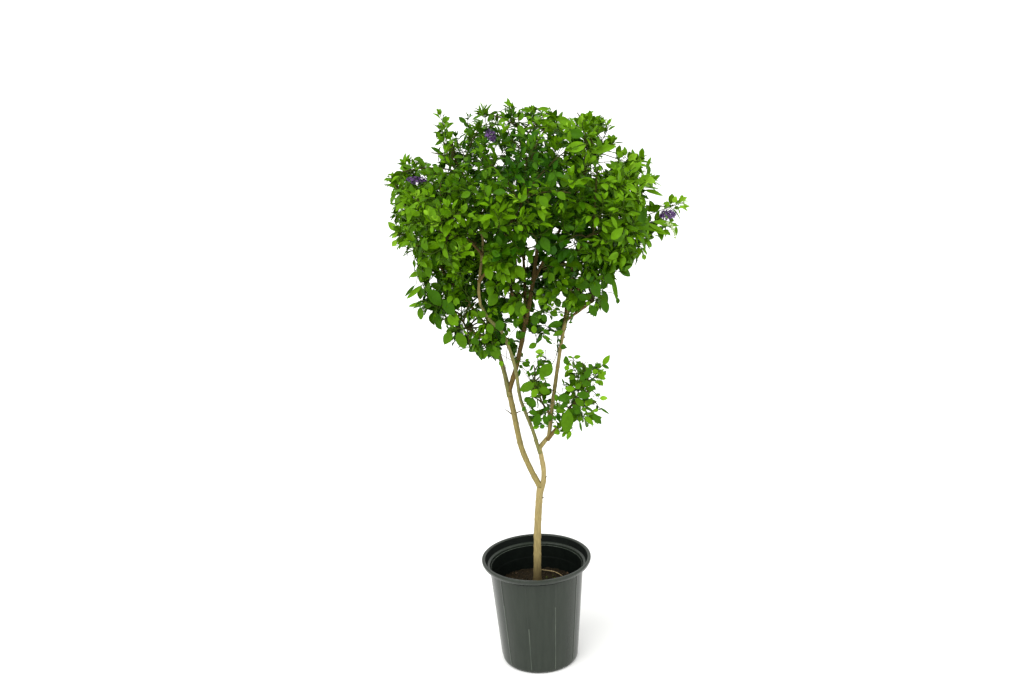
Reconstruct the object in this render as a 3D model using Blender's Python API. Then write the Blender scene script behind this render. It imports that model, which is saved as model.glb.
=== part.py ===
"""Potted duranta column: a young flowering shrub grown as a small tree, in its nursery pot.

Metres, +Z up. The origin is the centre of the pot's flat underside, and -Y is the front.
"""
import math
import random

import bmesh
import bpy
import numpy as np
from mathutils import Vector
from mathutils.bvhtree import BVHTree

GAP = 0.0003  # clearance between pieces that meet

# Pot
POT_HEIGHT = 0.254
RIM_RADIUS = 0.125
RIM_INNER_RADIUS = 0.118
RIM_BAND = 0.016
RIM_ROLL = ((0.0040, 0.0125), (0.0, 0.0045), (0.0018, 0.0))  # inset from the rim and drop from the top
SHOULDER_RADIUS = 0.107
BASE_RADIUS = 0.0875
BASE_EDGE = 0.010
BASE_EDGE_STEPS = 2
INNER_CORNER = 0.006
FLOOR_THICKNESS = 0.003
WALL_THICKNESS = 0.0022
LEDGE_HEIGHT = 0.233
LEDGE_RADIUS = 0.1035
LEDGE_FUNNEL = (0.0070, 0.0020)  # how far out and up the slope above the ledge starts
LEDGE_LIP = 0.0004
STACKING_RING_HEIGHT = 0.205
STACKING_RING_STEP = 0.0010
STACKING_RING_HALF = 0.0010
RIB_COUNT = 10
RIB_HEIGHT = 0.0011
RIB_HALF_ANGLE = math.radians(0.8)
RIB_FIRST_ANGLE = math.radians(-69)
COLUMNS_PER_RIB = 5
DRAIN_HOLES = 6
DRAIN_RADIUS = 0.006
DRAIN_SIDES = 10
DRAIN_RING_RADIUS = 0.066

# Soil, with the old root ball standing a little proud of it
SOIL_HEIGHT = 0.187
SOIL_EDGE_HEIGHT = 0.178
SOIL_CLEARANCE = GAP + 0.0001
ROOT_BALL_RADIUS = 0.056
ROOT_BALL_EDGE = 0.006
ROOT_BALL_ROWS = ((0.056, 0.002), (0.036, 0.001))  # radius, and drop from the soil's top
TRUNK_SEAT_RADIUS = 0.018
CRUMB_HEIGHT = 0.001
CRUMB_SHIFT = 0.02  # of the radius
SOIL_SEED = 11

# Trunk
TRUNK_ROUTE = ((0.0, 0.0, SOIL_HEIGHT + GAP), (0.0015, 0.0, 0.225), (0.005, 0.0, 0.308),
               (0.009, 0.0, 0.362), (0.013, 0.0, 0.402), (0.016, 0.0, 0.426))
TRUNK_RADIUS = (0.0088, 0.0076)
FLARE = 0.0045
FLARE_FADE = 0.012

# Boughs: parent, whether it carries on from the parent's end, radius at both ends, and its route
BOUGHS = {
    "left_bough": ("trunk", True, (0.0063, 0.0062), (
        (0.016, 0.0, 0.426), (-0.004, 0.010, 0.467), (-0.023, 0.015, 0.521),
        (-0.035, 0.025, 0.593), (-0.044, 0.030, 0.648))),
    "right_stem": ("trunk", False, (0.0057, 0.0052), (
        (0.015, 0.0, 0.412), (0.0235, -0.001, 0.438), (0.025, -0.003, 0.471),
        (0.021, -0.006, 0.503), (0.018, -0.010, 0.525))),
    "right_fork_limb": ("right_stem", True, (0.0050, 0.0048), (
        (0.018, -0.010, 0.525), (0.028, -0.012, 0.538), (0.040, -0.015, 0.554))),
    "slender_stem": ("right_stem", False, (0.0041, 0.0031), (
        (0.019, -0.009, 0.513), (0.012, -0.014, 0.538), (0.004, -0.020, 0.573), (-0.019, -0.030, 0.647),
        (-0.026, -0.035, 0.711), (-0.036, -0.045, 0.761), (-0.053, -0.055, 0.812),
        (-0.077, -0.060, 0.841), (-0.096, -0.064, 0.878))),
    "slender_stem_upper": ("slender_stem", True, (0.0031, 0.0026), (
        (-0.096, -0.064, 0.878), (-0.097, -0.068, 0.915), (-0.091, -0.071, 0.957),
        (-0.083, -0.075, 1.016), (-0.086, -0.072, 1.050))),
    "right_bough": ("right_fork_limb", True, (0.0046, 0.0036), (
        (0.040, -0.015, 0.554), (0.050, -0.010, 0.622), (0.063, 0.0, 0.695),
        (0.079, 0.005, 0.780), (0.093, 0.010, 0.831), (0.106, 0.015, 0.867))),
    "low_right_bough": ("right_fork_limb", False, (0.0045, 0.0030), (
        (0.036, -0.014, 0.546), (0.063, -0.025, 0.581), (0.082, -0.035, 0.617))),
    "central_leader": ("left_bough", True, (0.0056, 0.0032), (
        (-0.044, 0.030, 0.648), (-0.026, 0.035, 0.700), (-0.011, 0.040, 0.756), (0.009, 0.050, 0.839),
        (0.025, 0.055, 0.919), (0.036, 0.060, 0.998), (0.034, 0.055, 1.080))),
    "left_upper_bough": ("left_bough", False, (0.0054, 0.0040), (
        (-0.043, 0.029, 0.636), (-0.055, 0.035, 0.704), (-0.068, 0.045, 0.748), (-0.088, 0.052, 0.795))),
    "left_outer_bough": ("left_upper_bough", True, (0.0036, 0.0026), (
        (-0.088, 0.052, 0.795), (-0.130, 0.045, 0.862), (-0.170, 0.025, 0.925), (-0.192, 0.010, 0.975))),
    "left_low_bough": ("left_upper_bough", False, (0.0032, 0.0026), (
        (-0.074, 0.047, 0.762), (-0.098, 0.024, 0.780), (-0.122, 0.000, 0.803))),
    "back_left_bough": ("left_upper_bough", False, (0.0034, 0.0026), (
        (-0.072, 0.047, 0.758), (-0.088, 0.085, 0.810), (-0.115, 0.120, 0.880))),
    "back_bough": ("central_leader", False, (0.0036, 0.0026), (
        (-0.003, 0.044, 0.788), (0.002, 0.085, 0.870), (0.002, 0.125, 0.950), (0.0, 0.150, 1.030))),
    "middle_bough": ("central_leader", False, (0.0030, 0.0024), (
        (0.000, 0.045, 0.802), (-0.018, 0.036, 0.838), (-0.028, 0.030, 0.876))),
    "upper_right_bough": ("central_leader", False, (0.0034, 0.0026), (
        (0.019, 0.053, 0.890), (0.050, 0.055, 0.945), (0.090, 0.045, 1.020), (0.120, 0.030, 1.085))),
    "front_bough": ("slender_stem_upper", False, (0.0030, 0.0024), (
        (-0.096, -0.069, 0.930), (-0.066, -0.095, 0.975), (-0.035, -0.120, 1.040))),
    "front_left_bough": ("slender_stem_upper", False, (0.0028, 0.0024), (
        (-0.086, -0.073, 0.990), (-0.105, -0.100, 1.020))),
    "right_outer_bough": ("right_bough", True, (0.0034, 0.0026), (
        (0.106, 0.015, 0.867), (0.145, 0.012, 0.918), (0.185, 0.005, 0.975))),
    "right_low_bough": ("right_bough", False, (0.0030, 0.0024), (
        (0.087, 0.008, 0.812), (0.112, -0.020, 0.838), (0.140, -0.035, 0.862))),
    "back_right_bough": ("right_bough", False, (0.0034, 0.0026), (
        (0.084, 0.007, 0.800), (0.095, 0.060, 0.850), (0.115, 0.110, 0.905))),
    "front_right_bough": ("right_bough", False, (0.0032, 0.0024), (
        (0.099, 0.012, 0.848), (0.098, -0.035, 0.900), (0.100, -0.090, 0.955))),
    "inner_shoot": ("right_bough", False, (0.0026, 0.0022), (
        (0.047, -0.012, 0.598), (0.034, -0.014, 0.622))),
}
COLLAR = 0.0016  # how much wider a bough is where it leaves its parent
COLLAR_FADE = 0.010
THICK_SIDES = 6
THIN_SIDES = 5
THIN_RADIUS = 0.0040  # limbs that start thinner than this have the fewer sides
LIMB_STEP = 0.032

# Crown: height, then how far it reaches to the left, right, front and back at that height
CROWN = np.array((
    (0.702, 0.100, 0.060, 0.030, 0.050),
    (0.730, 0.165, 0.075, 0.040, 0.070),
    (0.780, 0.215, 0.105, 0.065, 0.110),
    (0.835, 0.240, 0.175, 0.080, 0.155),
    (0.900, 0.262, 0.210, 0.105, 0.200),
    (0.960, 0.262, 0.270, 0.150, 0.235),
    (1.030, 0.285, 0.300, 0.225, 0.260),
    (1.125, 0.292, 0.298, 0.255, 0.265),
    (1.175, 0.272, 0.270, 0.240, 0.250),
    (1.205, 0.190, 0.215, 0.215, 0.220),
    (1.250, 0.170, 0.190, 0.170, 0.175),
    (1.288, 0.110, 0.130, 0.100, 0.090)))
CROWN_SQUARENESS = 2.4  # 2 gives an ellipse at each height
SPRAY_CENTRE = np.array((0.300, -0.035, 1.052))  # the long shoot that reaches out on the right
SPRAY_REACH = np.array((0.062, 0.055, 0.052))
LOW_RIGHT_CENTRE = np.array((0.112, -0.045, 0.655))
LOW_RIGHT_REACH = np.array((0.073, 0.080, 0.106))
INNER_CENTRE = np.array((0.014, -0.008, 0.672))
INNER_REACH = np.array((0.050, 0.062, 0.112))

# Masses of foliage: the bough that carries each, the middle of its space, its number of twigs and
# how large its leaves are beside the others
MASSES = {
    "top_mass": ("central_leader", (0.005, 0.030, 1.205), 9, 0.95),
    "upper_left_mass": ("slender_stem_upper", (-0.125, -0.030, 1.170), 9, 1.0),
    "upper_right_mass": ("upper_right_bough", (0.150, 0.010, 1.165), 9, 1.0),
    "left_mass": ("left_outer_bough", (-0.210, 0.015, 1.040), 8, 1.0),
    "right_mass": ("right_outer_bough", (0.220, 0.010, 1.030), 10, 1.0),
    "front_mass": ("front_bough", (0.000, -0.160, 1.110), 8, 1.0),
    "back_mass": ("back_bough", (0.000, 0.180, 1.110), 9, 1.0),
    "front_left_mass": ("front_left_bough", (-0.145, -0.145, 1.050), 7, 1.0),
    "front_right_mass": ("front_right_bough", (0.125, -0.145, 1.030), 7, 1.0),
    "left_low_mass": ("left_low_bough", (-0.145, -0.010, 0.845), 10, 0.9),
    "right_low_mass": ("right_low_bough", (0.140, -0.025, 0.895), 8, 0.9),
    "back_left_mass": ("back_left_bough", (-0.125, 0.145, 0.960), 8, 1.0),
    "back_right_mass": ("back_right_bough", (0.130, 0.140, 0.970), 8, 1.0),
    "middle_mass": ("middle_bough", (-0.015, 0.030, 0.935), 7, 0.9),
    "low_right_mass": ("low_right_bough", tuple(LOW_RIGHT_CENTRE), 7, 0.75),
    "inner_mass": ("inner_shoot", tuple(INNER_CENTRE), 7, 0.66),
}
CELL_MARGIN = 0.001  # kept clear on each side of the wall between two masses
LIMB_MARGIN = 0.001  # kept clear of every limb by twigs and leaves

# Twigs and leaves, larger than life
TWIG_RADIUS = (0.0020, 0.0015)
TWIG_STEPS = 2
TWIG_TIP_DEPTH = 0.028  # how far below the crown's outline a twig ends
TWIG_SIDES = 3
TWIG_RISE = 0.15  # how far a twig arches, of its length
TWIG_SLANT = 0.5  # how far below its tip a twig leaves the stem, of its reach away from the stem
TWIG_ROOTS = (0.12, 0.97)  # the part of the stem that twigs leave
TWIG_TRIES = (1.0, 0.85, 0.7)  # lengths tried, of the whole
INNER_SHARE = 6  # one twig in so many goes to a wall between two masses
AIMS = 400
STEM_SIDES = 5
STEM_LEAD = 0.25
STEM_EASE = 0.10
STEM_CREST = 0.035  # how far the stem goes on past the middle of the mass
STEM_CREST_RISE = 0.08
LEAF_LENGTH = (0.070, 0.092)
LEAF_WIDTH = 0.56  # of its length
LEAF_FOLD = 0.035  # how far the edges stand above the keel, which is also a leaf's thickness there
LEAF_WIDEST = 0.36  # of its length from the root
LEAF_SHOULDER = (0.70, 0.82, 0.8)  # place, width and fold of the outer edge point
LEAF_TIP_PLACE = 0.006
LEAF_LAST_PLACE = 0.15  # of the twig, with no leaf nearer to the stem
LEAF_NOISE = (0.12, 0.55)  # at the first try, and what the last try adds
LEAF_SHRINK = 0.35
FACE_NOISE = 0.3
LEAF_SUNK = 0.0003  # how far a leaf's root lies past the middle of its twig
LEAF_SPACING = 0.034
LEAF_SPREAD = math.radians(66)
LEAF_LEVELS = 4
LEAF_TRIES = 12
LEAVES_PER_TWIG = 4.9
OUTWARD_FACING = 1.0
UPWARD_FACING = 0.7
FUSE_TRIES = (("EXACT", True), ("EXACT", False), ("MANIFOLD", True), ("MANIFOLD", False))
MERGE = 1e-6  # points nearer than this are made one
AXIS_REACH = 0.05  # leaves nearer to the plant's axis than this face up more than out
LOW_HEIGHT = 0.95  # masses lower than this hang their leaves
LOW_DROOP = -0.45
HIGH_DROOP = -0.12

# Blossom: mass, place of the cluster, length and radius
BLOSSOM = (
    ("upper_left_mass", (-0.055, -0.105, 1.242), 0.026, 0.013),
    ("left_mass", (-0.213, -0.060, 1.150), 0.040, 0.010),
    ("right_mass", (0.307, -0.050, 1.051), 0.032, 0.014),
)

FINISHES = {
    "pot_plastic": ((0.065, 0.080, 0.068), 0.45),
    "soil": ((0.045, 0.026, 0.016), 0.95),
    "bark": ((0.42, 0.33, 0.16), 0.80),
    "foliage": ((0.075, 0.170, 0.020), 0.55),
}


def clear_scene():
    """Remove every object that the file opened with."""
    for thing in list(bpy.data.objects):
        bpy.data.objects.remove(thing)


def finish(name):
    """The named material, made on its first use."""
    found = bpy.data.materials.get(name)
    if found:
        return found
    colour, roughness = FINISHES[name]
    material = bpy.data.materials.new(name)
    material.use_nodes = True
    shader = material.node_tree.nodes["Principled BSDF"]
    shader.inputs["Base Color"].default_value = (*colour, 1.0)
    shader.inputs["Roughness"].default_value = roughness
    shader.inputs["Metallic"].default_value = 0.0
    return material


def add_object(name, shape, material, home=None):
    """An object made from a shape, which is a pair of vertices and faces."""
    mesh = bpy.data.meshes.new(name)
    mesh.from_pydata([tuple(map(float, v)) for v in shape[0]], [], shape[1])
    mesh.materials.append(finish(material))
    thing = bpy.data.objects.new(name, mesh)
    (home or bpy.context.scene.collection).objects.link(thing)
    return thing


def unit(vector):
    """The vector at length one."""
    vector = np.asarray(vector, float)
    return vector / np.linalg.norm(vector)


def bake(thing):
    """Apply the object's modifiers to its mesh."""
    graph = bpy.context.evaluated_depsgraph_get()
    result = bpy.data.meshes.new_from_object(thing.evaluated_get(graph))
    thing.modifiers.clear()
    old = thing.data
    thing.data = result
    bpy.data.meshes.remove(old)


def cut(thing, cutters):
    """Take the cutters away from the object, and remove them."""
    for index, cutter in enumerate(cutters):
        modifier = thing.modifiers.new(f"cut {index}", "BOOLEAN")
        modifier.operation = "DIFFERENCE"
        modifier.solver = "EXACT"
        modifier.object = cutter
    bake(thing)
    for cutter in cutters:
        bpy.data.objects.remove(cutter)


def smooth_route(points, steps):
    """Points along a Catmull-Rom curve through the given points, with so many steps to each stretch."""
    points = np.array(points, float)
    ends = np.vstack((2 * points[0] - points[1], points, 2 * points[-1] - points[-2]))
    route = []
    for index in range(len(points) - 1):
        a, b, c, d = ends[index:index + 4]
        for t in np.arange(steps) / steps:
            route.append(0.5 * (2 * b + (c - a) * t + (2 * a - 5 * b + 4 * c - d) * t ** 2
                                + (3 * b - a - 3 * c + d) * t ** 3))
    route.append(points[-1])
    return np.array(route)


def tangents(route):
    """The direction of the route at each of its points."""
    steps = np.diff(route, axis=0)
    steps = steps / np.linalg.norm(steps, axis=1)[:, None]
    middle = steps[:-1] + steps[1:]
    ways = np.vstack((steps[:1], middle, steps[-1:]))
    return ways / np.linalg.norm(ways, axis=1)[:, None]


def distances(route):
    """The distance along the route to each of its points."""
    return np.append(0.0, np.cumsum(np.linalg.norm(np.diff(route, axis=0), axis=1)))


def sweep(route, radii, sides, start_way=None, turn=0.0):
    """A tapering limb round the route, closed by a flat face at each end."""
    ways = tangents(route)
    if start_way is not None:
        ways[0] = unit(start_way)
    across = unit(np.cross(ways[0], (0.0, 1.0, 0.0)) + np.array((1e-6, 0.0, 0.0)))
    angles = turn + 2 * math.pi * np.arange(sides) / sides
    vertices = []
    for point, way, radius in zip(route, ways, radii):
        across = unit(across - way * np.dot(across, way))
        other = np.cross(way, across)
        vertices.extend(point + radius * (math.cos(a) * across + math.sin(a) * other) for a in angles)
    faces = [tuple(reversed(range(sides)))]
    for ring in range(len(route) - 1):
        low = ring * sides
        for side in range(sides):
            following = (side + 1) % sides
            faces.append((low + side, low + following, low + sides + following, low + sides + side))
    last = (len(route) - 1) * sides
    faces.append(tuple(range(last, last + sides)))
    return np.array(vertices), faces


def tree_of(shape):
    """A search tree of the shape's faces."""
    return BVHTree.FromPolygons([Vector(v) for v in shape[0]], shape[1])


def join(shapes):
    """Several shapes as one list of vertices and faces, not fused."""
    vertices = []
    faces = []
    for points, polygons in shapes:
        base = len(vertices)
        vertices.extend(points)
        faces.extend(tuple(base + index for index in polygon) for polygon in polygons)
    return vertices, faces


# Pot and soil

def wall_radius(height):
    """The pot's outer radius at a height between its rounded foot and its shoulder."""
    shoulder_height = POT_HEIGHT - RIM_BAND
    share = (height - BASE_EDGE) / (shoulder_height - BASE_EDGE)
    return BASE_RADIUS + (SHOULDER_RADIUS - BASE_RADIUS) * share


def lower_inner_radius(height):
    """The pot's inner radius below its stacking ring."""
    return wall_radius(height) - WALL_THICKNESS - STACKING_RING_STEP


def pot_profile():
    """The pot's section from the rim of its flat underside, up the outside and down the inside."""
    outer = []
    for step in range(BASE_EDGE_STEPS + 1):
        angle = math.pi / 2 * step / BASE_EDGE_STEPS
        outer.append((BASE_RADIUS - BASE_EDGE * (1 - math.sin(angle)), BASE_EDGE * (1 - math.cos(angle))))
    outer.append((SHOULDER_RADIUS, POT_HEIGHT - RIM_BAND))
    rim = [(RIM_RADIUS - inset, POT_HEIGHT - drop) for inset, drop in RIM_ROLL]
    rim += [(RIM_INNER_RADIUS, POT_HEIGHT),
            (LEDGE_RADIUS + LEDGE_FUNNEL[0], LEDGE_HEIGHT + LEDGE_FUNNEL[1]),
            (LEDGE_RADIUS + LEDGE_LIP, LEDGE_HEIGHT)]
    ring_radius = wall_radius(STACKING_RING_HEIGHT) - WALL_THICKNESS
    inner = [(ring_radius, STACKING_RING_HEIGHT + STACKING_RING_HALF),
             (lower_inner_radius(STACKING_RING_HEIGHT), STACKING_RING_HEIGHT - STACKING_RING_HALF),
             (lower_inner_radius(BASE_EDGE), BASE_EDGE),
             (lower_inner_radius(BASE_EDGE) - INNER_CORNER, FLOOR_THICKNESS)]
    return outer + rim + inner, len(outer)


def pot_angles():
    """The pot's columns: the foot, crest and foot of each rib, and even steps between ribs."""
    pitch = 2 * math.pi / RIB_COUNT
    offsets = [-RIB_HALF_ANGLE, 0.0, RIB_HALF_ANGLE]
    plain = COLUMNS_PER_RIB - len(offsets)
    room = pitch - 2 * RIB_HALF_ANGLE
    offsets += [RIB_HALF_ANGLE + room * (step + 1) / (plain + 1) for step in range(plain)]
    angles = [RIB_FIRST_ANGLE + rib * pitch + offset for rib in range(RIB_COUNT) for offset in offsets]
    crests = [index % COLUMNS_PER_RIB == 1 for index in range(len(angles))]
    return angles, crests


def turned(profile, angles, lift=None):
    """A body turned round the Z axis, with a point on the axis closing each end of its profile."""
    vertices = [(0.0, 0.0, profile[0][1])]
    count = len(angles)
    for row, (radius, height) in enumerate(profile):
        for column, angle in enumerate(angles):
            extra = lift(row, column) if lift else 0.0
            reach = radius + extra
            vertices.append((reach * math.cos(angle), reach * math.sin(angle), height))
    vertices.append((0.0, 0.0, profile[-1][1]))
    top = len(vertices) - 1
    faces = []
    for column in range(count):
        following = (column + 1) % count
        faces.append((0, 1 + following, 1 + column))
        for row in range(len(profile) - 1):
            low = 1 + row * count
            high = low + count
            faces.append((low + column, low + following, high + following, high + column))
        last = 1 + (len(profile) - 1) * count
        faces.append((last + column, last + following, top))
    return np.array(vertices), faces


def make_pot():
    """The pot: tapered ribbed wall, rolled rim, inner ledge and a floor with drain holes."""
    profile, outer_rows = pot_profile()
    angles, crests = pot_angles()
    ribbed = range(BASE_EDGE_STEPS, outer_rows)

    def rib(row, column):
        return RIB_HEIGHT if crests[column] and row in ribbed else 0.0

    pot = add_object("pot", turned(profile, angles, rib), "pot_plastic")
    drills = []
    for index in range(DRAIN_HOLES):
        angle = 2 * math.pi * (index + 0.5) / DRAIN_HOLES
        place = Vector((math.cos(angle), math.sin(angle), 0.0)) * DRAIN_RING_RADIUS
        bm = bmesh.new()
        bmesh.ops.create_cone(bm, cap_ends=True, segments=DRAIN_SIDES, radius1=DRAIN_RADIUS,
                              radius2=DRAIN_RADIUS, depth=4 * FLOOR_THICKNESS)
        bmesh.ops.translate(bm, verts=bm.verts, vec=place)
        mesh = bpy.data.meshes.new("drill")
        bm.to_mesh(mesh)
        bm.free()
        drill = bpy.data.objects.new("drill", mesh)
        bpy.context.scene.collection.objects.link(drill)
        drills.append(drill)
    cut(pot, drills)
    return pot


def make_soil():
    """The soil: it fills the pot to the root ball's foot, and the root ball stands proud in its middle."""
    angles = pot_angles()[0][::2]
    edge = lower_inner_radius(SOIL_EDGE_HEIGHT) - SOIL_CLEARANCE
    foot = lower_inner_radius(BASE_EDGE) - SOIL_CLEARANCE
    profile = [(foot - INNER_CORNER, FLOOR_THICKNESS + GAP), (foot, BASE_EDGE), (edge, SOIL_EDGE_HEIGHT)]
    first_rough = len(profile)
    profile += [(ROOT_BALL_RADIUS + ROOT_BALL_EDGE, SOIL_EDGE_HEIGHT - CRUMB_HEIGHT)]
    profile += [(radius, SOIL_HEIGHT - drop) for radius, drop in ROOT_BALL_ROWS]
    rough = range(first_rough, len(profile))
    profile += [(TRUNK_SEAT_RADIUS, SOIL_HEIGHT)]
    rng = random.Random(SOIL_SEED)
    vertices, faces = turned(profile, angles)
    count = len(angles)
    for row in rough:
        for column in range(count):
            crumb = rng.uniform(-1, 1)
            vertices[1 + row * count + column][2] += crumb * CRUMB_HEIGHT
            vertices[1 + row * count + column][:2] *= 1 + crumb * CRUMB_SHIFT
    return add_object("soil", (vertices, faces), "soil")


# Trunk and boughs

class Limb:
    """A limb's route, its radius along it, and the way it points at each end."""

    def __init__(self, route, radii):
        self.route = route
        self.radii = radii
        self.ways = tangents(route)
        self.sides = THIN_SIDES if radii[1] < THIN_RADIUS else THICK_SIDES

    def shape(self, extra=0.0, start_way=None):
        """Its closed tube, made wider and longer by extra on every side."""
        route = self.route.copy()
        if extra:
            route[-1] = route[-1] + self.ways[-1] * extra
        spread = extra / math.cos(math.pi / self.sides)
        return sweep(route, self.radii + spread, self.sides, start_way)


def plan_limbs():
    """The trunk and every bough as limbs, each starting on or past its parent."""
    route = smooth_route(TRUNK_ROUTE, 2)
    along = distances(route)
    radii = np.interp(along, (0, along[-1]), TRUNK_RADIUS) + FLARE * np.exp(-along / FLARE_FADE)
    limbs = {"trunk": Limb(route, radii)}
    for name, (parent, carries_on, (thick, thin), points) in BOUGHS.items():
        points = np.array(points, float)
        stretch = distances(points)[-1] / (len(points) - 1)
        route = smooth_route(points, max(1, round(stretch / LIMB_STEP)))
        above = limbs[parent]
        if carries_on:
            route = route + above.ways[-1] * GAP
        along = distances(route)
        widening = above.radii[-1] - thick if carries_on else COLLAR
        radii = np.interp(along, (0, along[-1]), (thick, thin)) + widening * np.exp(-along / COLLAR_FADE)
        limbs[name] = Limb(route, radii)
    return limbs


def make_limbs(limbs):
    """Trunk and boughs as objects, each side bough cut 0.3 mm clear of the limbs that it leaves."""
    for name, limb in limbs.items():
        if name == "trunk":
            add_object(name, limb.shape(start_way=(0, 0, 1)), "bark")
            continue
        parent, carries_on = BOUGHS[name][:2]
        if carries_on:
            add_object(name, limb.shape(start_way=limbs[parent].ways[-1]), "bark")
            continue
        thing = add_object(name, limb.shape(), "bark")
        neighbours = [parent] + [other for other in BOUGHS if BOUGHS[other][0] == parent and other != name]
        tree = tree_of(limb.shape())
        cutters = []
        for other in neighbours:
            if other in BOUGHS and not BOUGHS[other][1] and list(limbs).index(other) > list(limbs).index(name):
                continue
            start_way = None
            if other != "trunk" and BOUGHS[other][1]:
                start_way = limbs[BOUGHS[other][0]].ways[-1]
            fat = limbs[other].shape(GAP, start_way)
            if tree.overlap(tree_of(fat)):
                cutters.append(add_object("cutter", fat, "bark"))
        cut(thing, cutters)
        keep_main_body(thing)


def keep_main_body(thing, merge=True):
    """Drop loose scraps and fill sealed hollows: only the largest closed shell stays."""
    bm = bmesh.new()
    bm.from_mesh(thing.data)
    if merge:
        bmesh.ops.remove_doubles(bm, verts=bm.verts, dist=MERGE)
        bmesh.ops.dissolve_degenerate(bm, edges=bm.edges, dist=MERGE)
    bmesh.ops.triangulate(bm, faces=bm.faces)
    seen = set()
    shells = []
    for first in bm.faces:
        if first in seen:
            continue
        shell = []
        todo = [first]
        seen.add(first)
        while todo:
            face = todo.pop()
            shell.append(face)
            for edge in face.edges:
                joined = edge.link_faces if len(edge.link_faces) == 2 else ()
                for other in joined:
                    if other not in seen:
                        seen.add(other)
                        todo.append(other)
        shells.append(shell)
    shells.sort(key=lambda shell: -sum(face.calc_area() for face in shell))
    loose = [face for shell in shells[1:] for face in shell]
    bmesh.ops.delete(bm, geom=loose, context="FACES")
    bmesh.ops.delete(bm, geom=[v for v in bm.verts if not v.link_faces], context="VERTS")
    bm.to_mesh(thing.data)
    bm.free()


def is_closed(thing):
    """Whether every edge of the object's mesh lies between exactly two faces."""
    bm = bmesh.new()
    bm.from_mesh(thing.data)
    closed = all(len(edge.link_faces) == 2 for edge in bm.edges)
    bm.free()
    return closed


# Foliage

def within_ellipsoid(points, centre, reach):
    """Which of the points lie inside the ellipsoid."""
    return np.sum(((points - centre) / reach) ** 2, axis=1) <= 1.0


def within_crown(points):
    """Which of the points lie inside the main crown, a lopsided ellipse at each height."""
    x, y, z = points.T
    left, right, front, back = (np.interp(z, CROWN[:, 0], CROWN[:, column]) for column in range(1, 5))
    across = x / np.where(x < 0, left, right)
    deep = y / np.where(y < 0, front, back)
    size = np.abs(across) ** CROWN_SQUARENESS + np.abs(deep) ** CROWN_SQUARENESS
    return (size <= 1.0) & (z >= CROWN[0, 0]) & (z <= CROWN[-1, 0])


class Space:
    """The room that one mass keeps to: its part of the crown, cut off by flat walls from its neighbours."""

    def __init__(self, name):
        self.name = name
        self.centre = np.array(MASSES[name][1])
        others = np.array([MASSES[other][1] for other in MASSES if other != name])
        across = others - self.centre
        self.ways = across / np.linalg.norm(across, axis=1)[:, None]
        self.limits = np.sum(self.ways * (others + self.centre) / 2, axis=1) - CELL_MARGIN

    def outline(self, points):
        """Which of the points lie inside the outline that this mass fills."""
        if self.name == "low_right_mass":
            return within_ellipsoid(points, LOW_RIGHT_CENTRE, LOW_RIGHT_REACH)
        if self.name == "inner_mass":
            return within_ellipsoid(points, INNER_CENTRE, INNER_REACH)
        inside = within_crown(points)
        if self.name == "right_mass":
            inside = inside | within_ellipsoid(points, SPRAY_CENTRE, SPRAY_REACH)
        return inside

    def holds(self, points):
        """Whether every one of the points lies in the space."""
        return bool(np.all(points @ self.ways.T < self.limits) and np.all(self.outline(points)))

    def edge(self, way):
        """The last point of the space from its centre along the way, and whether it is on the outside."""
        reaches = np.arange(0.005, 0.4, 0.004)
        points = self.centre + way * reaches[:, None]
        walled = np.all(points @ self.ways.T < self.limits, axis=1)
        outlined = self.outline(points)
        last = max(int(np.argmin(walled & outlined)) - 1, 0)
        return points[last], not outlined[last + 1]


def directions(count):
    """Directions spread evenly over a sphere, along a golden spiral."""
    golden = math.pi * (3 - math.sqrt(5))
    ways = []
    for index in range(count):
        height = 1 - 2 * (index + 0.5) / count
        ring = math.sqrt(1 - height * height)
        ways.append(np.array((ring * math.cos(golden * index), ring * math.sin(golden * index), height)))
    return ways


def spread_out(points, count, first):
    """So many of the points, each as far as it can be from those taken before it."""
    points = np.array(points).reshape(-1, 3)
    nearest = np.linalg.norm(points - first, axis=1)
    taken = []
    for _ in range(min(count, len(points))):
        index = int(np.argmax(nearest))
        taken.append(points[index])
        nearest = np.minimum(nearest, np.linalg.norm(points - points[index], axis=1))
    return taken


def point_at(route, along, place):
    """The point at a distance along the route."""
    return np.array([np.interp(place, along, route[:, axis]) for axis in range(3)])


def bend(start, middle, end, steps):
    """Points on the curve that leaves start towards middle and comes to end."""
    t = np.linspace(0, 1, steps + 1)[:, None]
    return (1 - t) ** 2 * start + 2 * t * (1 - t) * middle + t ** 2 * end


def leaf_shape(root, way, face, length, width):
    """A leaf of eight faces: root, tip and two raised edge points a side, with a keel from root to tip."""
    way = unit(way)
    face = unit(face - way * np.dot(face, way))
    side = np.cross(face, way) * width / 2
    fold = face * length * LEAF_FOLD
    far_place, far_width, far_fold = LEAF_SHOULDER
    wide = root + way * length * LEAF_WIDEST + fold
    far = root + way * length * far_place + fold * far_fold
    far_side = side * far_width
    tip = root + way * length
    points = np.array((root, wide + side, far + far_side, tip, far - far_side, wide - side))
    return points, [(0, 3, 1), (1, 3, 2), (0, 5, 3), (5, 4, 3), (0, 1, 5), (1, 2, 5), (2, 4, 5), (2, 3, 4)]


def blossom_shape(place, way, length, radius):
    """A short spike of blossom as one rounded body."""
    bm = bmesh.new()
    bmesh.ops.create_icosphere(bm, subdivisions=1, radius=1.0)
    way = unit(way)
    across = unit(np.cross(way, (0.3, 0.2, 1.0)))
    other = np.cross(way, across)
    points = [place + way * v.co.z * length / 2 + (across * v.co.x + other * v.co.y) * radius for v in bm.verts]
    faces = [tuple(v.index for v in face.verts) for face in bm.faces]
    bm.free()
    return np.array(points), faces


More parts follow.
